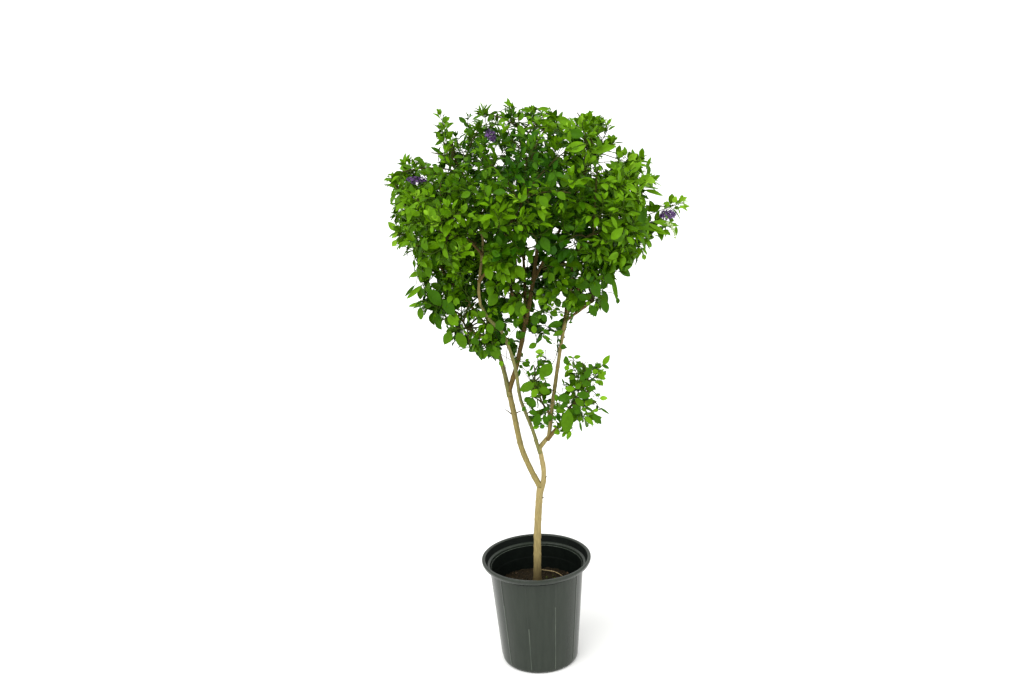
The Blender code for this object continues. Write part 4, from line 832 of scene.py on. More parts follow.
class PLANT_OT_pot(bpy.types.Operator):
    """Build the ribbed nursery pot with its rolled rim, stacking ledge and drain holes"""
    bl_idname = "plant.pot"
    bl_label = "Pot"

    def execute(self, context):
        settings = context.scene.plant_pot
        # Moulded polypropylene: satin and greyed by handling, with a dry film of dust that water has drawn into
        # faint upright streaks about 12 mm apart.
        scuffed = patterned("moulded_polypropylene", settings.wall, settings.dust, 80.0, (1.0, 1.0, 0.12),
                            roughness=0.27, bump=0.00003, spread=(0.30, 0.80), specular=0.30)
        # The plastic inside the pot: the same plastic without dust, painted almost black and dull as the shade that
        # falls inside the pot.
        dustless_in_painted_shade = patterned("clean_polypropylene", settings.plastic, 1.6, 60.0,
                          roughness=0.6, specular=0.06)
        # Crests of the ribs and the lip of the ledge, painted pale as a highlight where they catch the light.
        rib_and_ledge_highlight = patterned("rubbed_polypropylene", srgb("545C50"), srgb("384037"), 120.0, (1.0, 1.0, 0.2),
                           roughness=0.4, specular=0.3)

        def ribs(height, angle):
            """Rib height h exp(-(d/w)^2) at the angle d from the nearest rib, on the tapered wall only."""
            pitch = 2 * np.pi / RIB_COUNT
            off = (angle - RIB_FIRST_ANGLE + pitch / 2) % pitch - pitch / 2
            low = np.clip((height - BASE_EDGE) / 0.004, 0, 1)
            high = np.clip((POT_HEIGHT - RIM_BAND - 0.001 - height) / 0.003, 0, 1)
            return settings.rib_height * np.exp(-(off / RIB_SOFTNESS) ** 2) * low * high

        section = pot_section()
        crest = int(np.argmax(section[:, 1]))
        outside = section[:crest]
        wall = np.linspace(0, 1, 40)[:, None]
        long_run = int(np.argmax(np.linalg.norm(np.diff(outside, axis=0), axis=1)))
        steps = outside[long_run] + (outside[long_run + 1] - outside[long_run]) * wall[1:-1]
        outside = np.vstack((outside[:long_run + 1], steps, outside[long_run + 1:]))
        inside = section[crest:]

        def lift(height, angle):
            """Ribs on the outside's rows, and none on the inside's."""
            rows = (np.arange(len(outside) + len(inside)) < len(outside))[:, None]
            return ribs(height, angle) * rows

        points, quads, fans = turned_piece(np.vstack((outside, inside)), POT_COLUMNS, lift)
        row, column = np.divmod(np.arange(len(quads)), POT_COLUMNS)
        heights = np.vstack((outside, inside))[:, 1]
        middles = (heights[row] + heights[row + 1]) / 2
        # The ledge's lip and the crests of the ribs, each rib up to its own height, take the pale plastic: a painted
        # highlight.
        on_ledge = (row > len(outside)) & (np.abs(middles - LEDGE_HEIGHT) < 0.0006)
        angle = 2 * np.pi * (column + 0.5) / POT_COLUMNS
        rib = np.round((angle - RIB_FIRST_ANGLE) * RIB_COUNT / (2 * np.pi)).astype(int) % RIB_COUNT
        painted_highlight_crests = (ribs(middles, angle) > settings.rib_height * 0.6) & (middles < PAINTED_HIGHLIGHT_HEIGHTS[rib])
        # Rows inside the pot from just below the rim's rounding, and the inner floor, take the dark inner plastic:
        # painted shade.
        tone = np.where(row > len(outside) + 5, 1, 0)
        tone = np.where(on_ledge | (painted_highlight_crests & (row < len(outside))), 2, tone)
        pot = make_piece("moulded_pot", points, [quads, fans], [scuffed, dustless_in_painted_shade, rib_and_ledge_highlight],
                         [tone, (np.arange(len(fans)) >= POT_COLUMNS).astype(int)])
        angles = 2 * np.pi * (np.arange(DRAIN_HOLES) + 0.5) / DRAIN_HOLES
        places = DRAIN_RING_RADIUS * np.stack((np.cos(angles), np.sin(angles)), axis=1)
        drill(pot, places, DRAIN_RADIUS, 2 * FLOOR_THICKNESS)
        seat(pot, "pot_plastic", "pot")
        return {"FINISHED"}


def soil_height(x, y):
    """The soil's height: a proud root ball in the middle, a low ring round it, and crumbs of two sizes."""
    rng = np.random.default_rng(SOIL_SEED)
    reach = np.hypot(x, y)
    flat = np.stack((x, y, np.zeros_like(x)), axis=-1)
    ball = 1 / (1 + np.exp((reach - ROOT_BALL_RADIUS - 0.003 - 0.006 * waves(flat, rng, 0.05)) / 0.0022))
    rough = 0.0012 * waves(flat, rng, 0.022) + 0.0009 * waves(flat, rng, 0.008) + 0.0005 * waves(flat, rng, 0.0035)
    calm = np.clip((reach - TRUNK_SEAT_RADIUS) / 0.01, 0.25, 1)
    top = SOIL_EDGE_HEIGHT + (SOIL_HEIGHT - 0.0012 - SOIL_EDGE_HEIGHT) * ball
    return top + rough * calm


class PLANT_OT_soil(bpy.types.Operator):
    """Build the soil with its root ball, crumbs and a pale root"""
    bl_idname = "plant.soil"
    bl_label = "Soil"

    def execute(self, context):
        settings = context.scene.plant_pot
        # Moist peaty mix: no gloss, dark, with browner fibres a few millimetres across.
        mix = patterned("moist_potting_mix", settings.soil, srgb("281F0F"), 190.0, roughness=0.95, bump=0.001,
                        specular=0.15)
        # Dry bark chips and fibres in the mix, lighter than the rest.
        chips = patterned("dry_bark_chips", srgb("4A3820"), srgb("241A0F"), 260.0, roughness=0.9, bump=0.0004)
        # Moss: soft yellowish green cushions beside the trunk.
        moss = patterned("moss", srgb("4F5A1C"), srgb("333D12"), 300.0, roughness=0.9, specular=0.1)
        # Peeled root: pale, smooth and woody.
        root = patterned("pale_root", srgb("A8946A"), srgb("7C6A45"), 300.0, roughness=0.75, bump=0.0002)
        edge = lower_inner_radius(SOIL_EDGE_HEIGHT) - SOIL_CLEARANCE
        foot = lower_inner_radius(BASE_EDGE) - SOIL_CLEARANCE
        low = np.array(((foot - INNER_CORNER - 0.006, FLOOR_THICKNESS + GAP),
                        (foot - INNER_CORNER * 0.4, BASE_EDGE * 0.6),
                        (foot, BASE_EDGE + 0.004), (edge, SOIL_EDGE_HEIGHT - 0.002)))
        reach = np.linspace(edge, 0.0035, SOIL_ROWS)
        section = np.vstack((low, np.stack((reach, np.full(SOIL_ROWS, SOIL_EDGE_HEIGHT)), axis=1)))
        points, quads, fans = turned_piece(section, SOIL_COLUMNS)
        top = np.arange(len(points)) > len(low) * SOIL_COLUMNS
        points[top, 2] = soil_height(points[top, 0], points[top, 1])
        seat(make_piece("potting_mix", points, [quads, fans], [mix]), "soil", "soil")

        rng = np.random.default_rng(21)
        index = np.arange(CRUMB_COUNT)
        spread = (edge - 0.004) * np.sqrt((index + 0.5) / CRUMB_COUNT)
        angle = index * GOLDEN_ANGLE + rng.uniform(-0.4, 0.4, CRUMB_COUNT)
        keep = spread > TRUNK_SEAT_RADIUS * 0.8
        x, y = (spread * np.cos(angle))[keep], (spread * np.sin(angle))[keep]
        scales = rng.gamma(3.0, 0.00055, len(x)).clip(0.0006, 0.0042)
        places = np.stack((x, y, soil_height(x, y) + scales * 0.25), axis=1)
        frames = unit(rng.normal(size=(len(x), 3, 3)))
        frames[:, 2] *= 0.45
        corners = np.array(((1, 0, 0), (-1, 0, 0), (0, 1, 0), (0, -1, 0), (0, 0, 1), (0, 0, -1)), float)
        sides = np.array(((0, 2, 4), (2, 1, 4), (1, 3, 4), (3, 0, 4), (2, 0, 5), (1, 2, 5), (3, 1, 5), (0, 3, 5)))
        shapes = stamp(corners, places, frames, scales)
        faces = repeated(sides, len(places), 6)
        mossy = np.hypot(x - MOSS_PLACE[0], y - MOSS_PLACE[1]) < MOSS_PLACE[2]
        tone = np.where(mossy & (rng.random(len(places)) < 0.8), 2, rng.random(len(places)) < 0.35)
        crumbs = make_piece("soil_crumbs", shapes.reshape(-1, 3), [faces], [mix, chips, moss],
                            [np.repeat(tone, len(sides))], smooth=False)
        seat(crumbs, "soil")

        route = evenly(smooth_route(PALE_ROOT, 8), 0.003)
        lifted = route.copy()
        lifted[:, 2] = np.maximum(soil_height(route[:, 0], route[:, 1]) + 0.0006, ROOT_LEAST)
        radii = 0.0013 * np.sin(np.linspace(0.35, np.pi - 0.2, len(lifted)))
        points, faces, _ = joined_tubes([(lifted[None], radii[None], 8, 0)])
        seat(make_piece("surface_root", points, faces, [root]), "soil")
        return {"FINISHED"}


# Trunk and boughs

def plan_limbs():
    """Route and radius of the trunk and every bough, by the same rule as the solids: widening by c exp(-d/l)."""
    route = smooth_route(TRUNK_ROUTE, 8)
    along = distances(route)
    radii = np.interp(along, (0, along[-1]), TRUNK_RADIUS) + FLARE * np.exp(-along / FLARE_FADE)
    limbs = {"trunk": (route, radii)}
    for name, (parent, carries_on, ends, points) in BOUGHS.items():
        thick, thin = np.array(ends) / 10000
        route = smooth_route(np.array(points) / 1000, 8)
        above_route, above_radii = limbs[parent]
        if carries_on:
            route[0] = above_route[-1]
        along = distances(route)
        widening = above_radii[-1] - thick if carries_on else COLLAR
        radii = np.interp(along, (0, along[-1]), (thick, thin)) + widening * np.exp(-along / COLLAR_FADE)
        limbs[name] = (route, radii)
    return limbs


def bark_surface(route, radii, seed, relief, scars=()):
    """A limb's surface: r(s, t) = taper + streaks + bud rings h exp(-(d/l)^2) + scars."""
    fine = evenly(route, BARK_STEP)
    along = distances(fine)
    radius = np.interp(along, distances(route), radii)
    ways = tangents(fine)
    across, other = sideways(ways, (0.0, 1.0, 0.0))
    angles = 2 * np.pi * np.arange(BARK_SIDES) / BARK_SIDES
    rng = np.random.default_rng(seed)
    turns = rng.integers(2, 9, 12)
    runs = 2 * np.pi / rng.uniform(0.018, 0.070, 12)
    phases = rng.uniform(0, 2 * np.pi, 12)
    streaks = np.sin(angles[None, :, None] * turns + along[:, None, None] * runs + phases).sum(axis=-1) / 3.0
    rings = np.zeros_like(along)
    for place in np.arange(0.030, along[-1] - 0.008, BUD_RING_SPACING) + rng.uniform(-0.005, 0.005):
        rings += BUD_RING_HEIGHT * np.exp(-((along - place) / BUD_RING_LENGTH) ** 2)
    surface = radius[:, None] + relief * streaks + rings[:, None] * (1 + 0.8 * np.cos(2 * angles))
    for place, angle, height in scars:
        near = np.exp(-((along[:, None] - place) / 0.0035) ** 2 - ((np.cos(angles - angle) - 1) / 0.12) ** 2)
        surface = surface + height * near
    ring = across[:, None, :] * np.cos(angles)[:, None] + other[:, None, :] * np.sin(angles)[:, None]
    body = fine[:, None, :] + surface[:, :, None] * ring
    ends = fine[[0, -1]] + ways[[0, -1]] * ((-END_BULGE,), (END_BULGE,))
    points = np.vstack((ends[:1], body.reshape(-1, 3), ends[1:]))
    return points, *ring_faces(len(fine), BARK_SIDES)


class PLANT_OT_limbs(bpy.types.Operator):
    """Build the trunk and boughs with their bark, bud rings, scars and thorns"""
    bl_idname = "plant.limbs"
    bl_label = "Trunk and boughs"

    def execute(self, context):
        settings = context.scene.plant_bark
        def bark(name, colour, factor, **finish):
            """Bark streaked along the limb with a darker shade of its colour."""
            finish = {"roughness": 0.78, "bump": 0.0003, "specular": 0.25, **finish}
            return patterned(name, colour, factor, 420.0, ALONG_LIMB, **finish)

        # Young woody bark: dull, finely streaked along the limb, tan where the light has bleached it.
        # Its foot is dark brown, fading out from 0.200 m up to 0.262 m.
        old = bark("tan_bark", settings.trunk, 0.68, foot=(settings.foot, 0.200, 0.262))
        # Bark half bleached.
        tan = bark("olive_tan_bark", settings.bough, 0.62)
        # The same bark before it bleaches: darker and redder.
        brown = bark("brown_bark", settings.leader, 0.58, roughness=0.80)
        # Second-year shoot: green still shows through its thin grey bark.
        olive = patterned("olive_bark", srgb("7F7D45"), srgb("5A5830"), 420.0, ALONG_LIMB, roughness=0.72,
                          bump=0.0002, specular=0.3)
        barks = {"trunk": old, "right_stem": old, "left_bough": tan, "right_fork_limb": tan, "right_bough": tan,
                 "slender_stem": olive, "slender_stem_upper": tan, "left_upper_bough": olive}
        for index, (name, (route, radii)) in enumerate(plan_limbs().items()):
            scars = TRUNK_SCARS if name == "trunk" else ()
            points, quads, fans = bark_surface(route, radii, 100 + index, settings.relief, scars)
            piece = make_piece(name + "_bark", points, [quads, fans], [barks.get(name, brown)])
            seat(piece, "bark", name)
        middle = THORNS.mean(axis=1) + (0.0, 0.0, 0.0006)
        routes = np.stack((THORNS[:, 0], middle, THORNS[:, 1]), axis=1)
        radii = np.tile((THORN_RADIUS, THORN_RADIUS * 0.75, THORN_RADIUS * 0.3), (len(THORNS), 1))
        points, faces, _ = joined_tubes([(routes, radii, 6, 0)])
        # Dead thorn: hard, dry and dark.
        thorn = patterned("dry_thorn", srgb("4C3A1E"), srgb("33260F"), 600.0, roughness=0.7, specular=0.25)
        seat(make_piece("thorns", points, faces, [thorn]), "bark")
        return {"FINISHED"}


# Foliage

def within_ellipsoid(points, centre, reach):
    """Which of the points lie inside the ellipsoid: |(p - c) / r| <= 1."""
    return np.sum(((points - centre) / reach) ** 2, axis=-1) <= 1.0


def crown_share(points):
    """How far out in the crown each point is: (|x/a|^n + |y/b|^n)^(1/n), and more than 1 outside."""
    x, y, z = points[..., 0], points[..., 1], points[..., 2]
    left, right, front, back = (np.interp(z, CROWN[:, 0], CROWN[:, column]) for column in range(1, 5))
    across = np.abs(x / np.where(x < 0, left, right))
    deep = np.abs(y / np.where(y < 0, front, back))
    share = (across ** CROWN_SQUARENESS + deep ** CROWN_SQUARENESS) ** (1 / CROWN_SQUARENESS)
    return np.where((z < CROWN[0, 0]) | (z > CROWN[-1, 0]), 9.0, share)


def from_front(points):
    """Where points show in the trunk's plane, seen from the eye e: e + (p - e) d / (d + y)."""
    away = -EYE[1] / (points[..., 1] - EYE[1])
    return np.stack((EYE[0] + (points[..., 0] - EYE[0]) * away, EYE[2] + (points[..., 2] - EYE[2]) * away), axis=-1)


def before_opening(points):
    """Which of the points stand in an opening's ellipse |(p - c) / r| < 1, and nearer than its depth."""
    flat = from_front(points)
    hidden = np.zeros(points.shape[:-1], bool)
    for opening in (*SKY_OPENINGS, *LIMB_OPENINGS):
        x, height, wide, tall, *depth = np.array(opening) / 10000
        within = ((flat[..., 0] - x) / wide) ** 2 + ((flat[..., 1] - height) / tall) ** 2 < 1
        hidden |= within & (points[..., 1] < depth[0]) if depth else within
    return hidden


def outline_depths():
    """How far inside of the front outline each cell of the trunk's plane lies, and less than 0 outside of it.

    A cell is inside where a ray to the right crosses the outline an odd number of times, and its distance from each
    side of the outline is |p - a - clamp(t) (b - a)|.
    """
    low = OUTLINE.min(axis=0) - OUTLINE_MARGIN
    across, up = (np.arange(low[axis], OUTLINE[:, axis].max() + OUTLINE_MARGIN, OUTLINE_CELL) for axis in (0, 1))
    flat = np.stack(np.meshgrid(across, up, indexing="ij"), axis=-1)
    inside = np.zeros(flat.shape[:2], bool)
    near = np.full(flat.shape[:2], 9.0)
    for corner, side in zip(OUTLINE, np.roll(OUTLINE, -1, axis=0) - OUTLINE):
        reach = flat - corner
        level = (reach[..., 1] >= 0) != (reach[..., 1] - side[1] >= 0)
        cross = reach[..., 0] * side[1] - reach[..., 1] * side[0]
        inside ^= level & ((cross < 0) == (side[1] > 0))
        along = np.clip(reach @ side / (side @ side), 0, 1)
        near = np.minimum(near, np.linalg.norm(reach - along[..., None] * side, axis=-1))
    return low, np.where(inside, near, -near)


OUTLINE_LOW, OUTLINE_DEPTHS = outline_depths()


def inside_outline(points, spare=0.0):
    """Which of the points show within the front outline, or no further than spare outside of it."""
    cells = np.round((from_front(points) - OUTLINE_LOW) / OUTLINE_CELL).astype(int)
    cells = np.clip(cells, 0, np.array(OUTLINE_DEPTHS.shape) - 1)
    return OUTLINE_DEPTHS[cells[..., 0], cells[..., 1]] > -spare


def inside_reach(points, spare=0.0):
    """Which of the points lie in the crown, its spray or its low masses, and within the front outline."""
    inside = crown_share(points) <= DEPTH_SPARE
    for centre, reach in LOBES.values():
        inside |= within_ellipsoid(points, centre, reach * LOBE_SPARE[0] + LOBE_SPARE[1])
    return inside & inside_outline(points, spare)


class Space:
    """The room of one mass: its part of the crown, cut off by flat walls halfway to its neighbours."""

    def __init__(self, name):
        self.name = name
        self.centre = np.array(MASSES[name][1]) / 1000
        others = np.array([MASSES[other][1] for other in MASSES if other != name]) / 1000
        across = others - self.centre
        self.ways = unit(across)
        self.limits = np.sum(self.ways * (others + self.centre) / 2, axis=1) - CELL_MARGIN

    def outline(self, points):
        """Which of the points lie inside the outline that this mass fills."""
        inside = self.name in LOBES and within_ellipsoid(points, *LOBES[self.name])
        return inside if self.name in LOW_MASSES else inside | (crown_share(points) <= 1.0)

    def wall_depth(self, points):
        """How far each point lies from the nearest wall, and less than 0 past it."""
        return (self.limits - points @ self.ways.T).min(axis=-1)

    def edge(self, way):
        """The last point of the space from its centre along the way, and whether it is on the outside."""
        reaches = np.arange(0.005, 0.4, 0.004)
        points = self.centre + way * reaches[:, None]
        walled = np.all(points @ self.ways.T < self.limits, axis=1)
        outlined = self.outline(points)
        last = max(int(np.argmin(walled & outlined)) - 1, 0)
        return points[last], not outlined[last + 1]

    def candidates(self, rng, count):
        """Points for the tips of shoots: in the space, lower over its walls, and few near the axis."""
        low = self.centre - 0.26
        points = low + rng.random((count * 12, 3)) * 0.52
        depth = self.wall_depth(points)
        points = points[(depth > 0) & (self.outline(points) | (crown_share(points) < DEPTH_SPARE))]
        points = points[inside_outline(points, -TIP_DEPTH)]
        if self.name in LOW_MASSES:
            return points[:count], np.full(min(count, len(points)), LOW_ROOM)
        depth = self.wall_depth(points)
        share = crown_share(points)
        lowered = 1 - CLEFT_DEPTH * np.exp(-(depth / CLEFT_WIDTH) ** 2)
        points = points[(share <= lowered * DEPTH_SPARE) | (share > 2.0)][:count]
        room = np.interp(np.minimum(crown_share(points), 1.0), *CORE_ROOM) * np.interp(points[:, 2], *HEIGHT_ROOM)
        return points, room * (1 + patched(points, ROOM_PATCHES))


def directions(count):
    """Directions spread evenly over a sphere: (cos(g i) r, sin(g i) r, z) with the golden angle g."""
    index = np.arange(count)
    height = 1 - 2 * (index + 0.5) / count
    ring = np.sqrt(1 - height ** 2)
    angle = GOLDEN_ANGLE * index
    return np.stack((ring * np.cos(angle), ring * np.sin(angle), height), axis=1)


def spread_out(points, count, first, least=0.0, room=1.0):
    """So many of the points, each as far as it can be from those before it, and no nearer than least times room."""
    points = np.array(points).reshape(-1, 3)
    nearest = np.linalg.norm(points - first, axis=1) / room
    taken = []
    for _ in range(min(count, len(points))):
        index = int(np.argmax(nearest))
        if nearest[index] < least:
            break
        taken.append(points[index])
        nearest = np.minimum(nearest, np.linalg.norm(points - points[index], axis=1) / room)
    return taken


class Mass:
    """One mass: its stem and twigs by the solids' rule, and finer shoots by the same rule from those."""

    def __init__(self, name, limbs, rng, spacing):
        bough, _, self.twig_count = MASSES[name]
        self.space = Space(name)
        self.route, self.radii = limbs[bough]
        self.rng = rng
        self.grow_stem()
        self.grow_twigs()
        self.grow_shoots(spacing)

    def grow_stem(self):
        """The stem, from its bough's tip up to the middle of the mass and a little on."""
        way = tangents(self.route)[-1]
        start = self.route[-1]
        heart = self.space.centre
        length = np.linalg.norm(heart - start)
        away = np.array((heart[0], heart[1], STEM_CREST_RISE))
        top = heart + unit((heart - start) / 2 + away) * STEM_CREST
        halfway = (start + heart) / 2 + way * length * STEM_EASE
        self.stem = smooth_route((start, start + way * length * STEM_LEAD, halfway, heart, top), 6)
        along = distances(self.stem)
        self.stem_radii = np.interp(along, (0, along[-1]), (self.radii[-1], TWIG_RADIUS[0] * 0.8))

    def grow_twigs(self):
        """Twigs from the stem to points spread evenly over the outside of the space."""
        outside = []
        inside = []
        for way in directions(AIMS):
            point, open_air = self.space.edge(way)
            (outside if open_air else inside).append(point)
        inner_count = max(1, self.twig_count // INNER_SHARE)
        targets = spread_out(outside, self.twig_count - inner_count, self.stem[0])
        targets += spread_out(inside, inner_count, self.stem[-1])
        rise = unit(self.stem[-1] - self.stem[0])
        along = distances(self.stem)
        self.twigs = []
        for target in targets:
            target = target + unit(self.space.centre - target) * TWIG_TIP_DEPTH
            reach = target - self.stem[0]
            level = np.dot(reach, rise) - TWIG_SLANT * np.linalg.norm(np.cross(reach, rise))
            level = min(max(level, TWIG_ROOTS[0] * along[-1]), TWIG_ROOTS[1] * along[-1])
            start = along_route(self.stem, along, level)
            lift = np.array((0.0, 0.0, TWIG_RISE * np.linalg.norm(target - start)))
            twig = bend(start, (start + target) / 2 + lift, target, TWIG_STEPS)
            shown = inside_outline(twig, TWIG_SPARE) & ~before_opening(twig)
            shown[:TWIG_LEAST] = True
            level = distances(twig)
            cut = level[-1] if shown.all() else level[int(np.argmin(shown)) - 1]
            levels = np.linspace(0, cut, len(twig))
            self.twigs.append(along_route(twig, level, levels))

    def grow_shoots(self, spacing):
        """Shoots from twigs, and from earlier shoots, to points spread through the space."""
        wood = [self.stem[3:]] + self.twigs
        places = np.vstack(wood)
        ways = np.vstack([tangents(route) for route in wood])
        candidates, room = self.space.candidates(self.rng, CANDIDATES)
        owners = np.full(len(places), -1)
        self.shoots = []
        self.parents = []
        for target in spread_out(candidates, MOST_SHOOTS, self.stem[0], spacing, room):
            rise, sink = (np.interp(target[2], SHOOT_HEIGHTS, values) for values in (SHOOT_RISES, SINK_COSTS))
            reach = target - places
            far = np.linalg.norm(reach, axis=1)
            behind = 1 - np.sum(reach * ways, axis=1) / np.maximum(far, 1e-6)
            cost = far * (1 + SHOOT_SLANT * behind) + sink * np.maximum(0, -reach[:, 2])
            index = int(np.argmin(cost))
            length = far[index]
            if length < SHOOT_LEAST:
                continue
            middle = places[index] + ways[index] * length * SHOOT_LEAD + reach[index] * SHOOT_PULL
            middle[2] += rise * length
            route = bend(places[index], middle, target, SHOOT_STEPS)
            if not inside_outline(route[1:], SHOOT_SPARE).all() or before_opening(route[1:]).sum() > 1:
                continue
            owners = np.append(owners, np.full(len(route) - 2, len(self.shoots)))
            self.parents.append(owners[index])
            self.shoots.append(route)
            places = np.vstack((places, route[2:]))
            ways = np.vstack((ways, tangents(route)[2:]))
        self.places = places


def patched(points, patches):
    """The sum of the patches s exp(-(d/r)^2) at each point, with d its distance in x and z."""
    total = np.zeros(len(points))
    for x, height, radius, strength in np.array(patches) / (1000, 1000, 1000, 100):
        far = ((points[:, 0] - x) ** 2 + (points[:, 2] - height) ** 2) / radius ** 2
        total += strength * np.exp(-far)
    return total


def spray_painted_light(tips, rng):
    """How much painted light each spray gets: more at the outside and the top, more or less by the patches of painted
    light and shade, and by chance.
    """
    share = crown_share(tips)
    share = np.where(share > 2, 0.9, np.minimum(share, 1.05))
    light = OUTER_PAINTED_LIGHT * (share - 0.72) + UPPER_PAINTED_LIGHT * (tips[:, 2] - 1.0) + ALL_LIGHT + patched(tips, PATCHES)
    return light + 0.14 * waves(tips, rng, 0.11) + rng.normal(0, TONE_NOISE[0], len(tips))


def leaves_on(routes, sizes, rng):
    """Opposite pairs of leaves along shoots, each pair turned a quarter from the last.

    It gives arrays with a row for each leaf: foot of the stalk, direction, length, pair and shoot.
    """
    count = len(routes)
    steps = np.linalg.norm(np.diff(routes, axis=1), axis=2)
    along = np.concatenate((np.zeros((count, 1)), np.cumsum(steps, axis=1)), axis=1)
    total = along[:, -1:]
    ways = tangents(routes)
    level = np.arange(len(PAIR_PLACES))
    place = total - np.array(PAIR_PLACES) * rng.uniform(0.85, 1.2, (count, 1))
    kept = place > BARE_BASE * total
    share = np.clip(place / total, 0, 1) * (routes.shape[1] - 1)
    low = np.clip(share.astype(int), 0, routes.shape[1] - 2)
    part = (share - low)[..., None]
    index = np.arange(count)[:, None]
    roots = routes[index, low] * (1 - part) + routes[index, low + 1] * part
    way = unit(ways[index, low] * (1 - part) + ways[index, low + 1] * part)
    helper = np.where(np.abs(way[..., 2:3]) < 0.9, (0.0, 0.0, 1.0), (1.0, 0.0, 0.0))
    across, other = sideways(way, helper)
    angle = rng.uniform(0, np.pi, (count, 1)) + level * np.pi / 2
    side = across * np.cos(angle)[..., None] + other * np.sin(angle)[..., None]
    spread = np.radians(np.array(PAIR_SPREADS))[:, None] + rng.normal(0, SPREAD_CHANCE, (*place.shape, 1))
    out = np.stack([way * np.cos(spread) + sign * side * np.sin(spread) for sign in (1, -1)], axis=2)
    roots = np.stack((roots, roots), axis=2)
    kept = np.repeat(kept[:, :, None], 2, axis=2) & (rng.random((*place.shape, 2)) > LOST_LEAVES)
    length = sizes[:, None, None] * np.array(PAIR_SIZES)[None, :, None] * rng.uniform(0.85, 1.12, kept.shape)
    levels = np.broadcast_to(level[None, :, None], kept.shape)
    owner = np.broadcast_to(np.arange(count)[:, None, None], kept.shape)
    return roots[kept], out[kept], length[kept], levels[kept], owner[kept]


def squared(uppers, ways):
    """The upper sides turned square to the leaves' ways: u - w (u.w), at length one."""
    return unit(uppers - ways * np.sum(uppers * ways, axis=1, keepdims=True))


def leaf_frames(roots, out, rng):
    """Each leaf's direction and upper side: low leaves hang and show their upper side outwards."""
    height = roots[:, 2]
    droop = np.interp(height, *LEAF_DROOP)
    way = unit(out + np.stack((np.zeros_like(droop), np.zeros_like(droop), droop), axis=1)
               + rng.normal(0, LEAF_CHANCE[0], roots.shape))
    flat = roots * (1.0, 1.0, 0.0)
    outward = flat / np.maximum(np.linalg.norm(flat, axis=1, keepdims=True), AXIS_REACH)
    facing = np.interp(height, *LEAF_FACING)[:, None]
    upper = outward * facing + np.array((0.0, 0.0, LEAF_RISE)) + rng.normal(0, LEAF_CHANCE[1], roots.shape)
    return way, squared(upper, way)


def blades(feet, ways, uppers, lengths, widths, rng):
    """Leaf blades: p = foot + y(u) way + v w(u) side + z(u, v) upper, for u along and v across.

    w(u) = W/2 sin(pi u^peak)^0.85, and z = fold |v| w - curl u^2 L + wave L sin(2 pi (1.5 u + f)) |v|.
    """
    count = len(feet)
    u = np.linspace(0, 1, BLADE_ROWS)
    v = np.linspace(-1, 1, BLADE_COLUMNS)
    half = 0.5 * np.sin(np.pi * np.clip(u, 0, 1) ** BLADE_PEAK) ** 0.85
    across = half[None, :, None] * v[None, None, :] * widths[:, None, None]
    fold, curl, wave, phase = (rng.uniform(*bounds, (count, 1, 1)) for bounds in (FOLD, CURL, WAVE, (0, 1)))
    along = u[None, :, None]
    ripple = np.sin(2 * np.pi * (1.5 * along + phase))
    lift = fold * np.abs(across) - curl * along ** 2 + wave * ripple * np.abs(v)
    forward = np.broadcast_to(along * (1 - 0.35 * curl * along ** 2), across.shape)
    sides = np.cross(uppers, ways)
    grid = (forward[..., None] * ways[:, None, None, :] + across[..., None] * sides[:, None, None, :]
            + lift[..., None] * uppers[:, None, None, :]) * lengths[:, None, None, None]
    grid += feet[:, None, None, :]
    middle = BLADE_COLUMNS // 2
    points = np.concatenate((grid[:, :1, middle], grid[:, 1:-1].reshape(count, -1, 3), grid[:, -1:, middle]), axis=1)
    strips = BLADE_COLUMNS - 1
    row = (np.arange(BLADE_ROWS - 3) * BLADE_COLUMNS)[:, None]
    first = 1 + np.arange(strips)
    quads = np.stack((row + first, row + first + 1, row + first + 1 + BLADE_COLUMNS, row + first + BLADE_COLUMNS),
                     axis=-1).reshape(-1, 4)
    last = first + (BLADE_ROWS - 3) * BLADE_COLUMNS
    tip = 1 + (BLADE_ROWS - 2) * BLADE_COLUMNS
    fans = np.concatenate((np.stack((np.zeros(strips, int), first + 1, first), axis=-1),
                           np.stack((last, last + 1, np.full(strips, tip)), axis=-1)))
    return points, quads, fans


def clear_of(points, wood, clearance):
    """Which rows of points, each a few points of one leaf, keep clear of the wood's spheres."""
    centres, radii = wood
    free = np.ones(len(points), bool)
    for start in range(0, len(points), LEAVES_AT_ONCE):
        part = slice(start, start + LEAVES_AT_ONCE)
        gap = np.linalg.norm(points[part, :, None, :] - centres[None, None], axis=-1) - radii
        free[part] = gap.min(axis=(1, 2)) > clearance
    return free


def fit_leaves(roots, ways, uppers, lengths, free, leaf, limbs):
    """Which leaves stay in reach and clear of limbs and openings, with their feet and lengths.

    A leaf that does not fit is tried once more at a smaller length. Free ones keep clear of the limbs only.
    """
    routes = [evenly(route, WOOD_STEP) for route, _ in limbs.values()]
    radii = [np.interp(distances(fine), distances(route), radius)
             for fine, (route, radius) in zip(routes, limbs.values())]
    wood = np.vstack(routes), np.concatenate(radii)
    low, high = np.array(CAD_BOX)
    kept = np.zeros(len(roots), bool)
    for _ in range(2):
        lengths = np.where(kept, lengths, lengths * (SECOND_TRY if kept.any() else 1.0))
        feet = roots + ways * PETIOLE * np.clip(lengths / leaf.length, 0.4, 1.1)[:, None]
        middles = feet + ways * lengths[:, None] * 0.5
        side = np.cross(uppers, ways) * (lengths * leaf.width * PROBE_WIDTH)[:, None]
        probes = np.stack((feet + ways * lengths[:, None], middles, middles + side, middles - side), axis=1)
        fits = (inside_reach(probes, REACH_SPARE).all(axis=1) & ~before_opening(probes).any(axis=1)) | free
        fits &= ((probes > low - BOX_SPARE) & (probes < high + BOX_SPARE)).all(axis=(1, 2))
        kept |= fits & clear_of(probes, wood, LEAF_CLEARANCE)
    return kept, feet, lengths


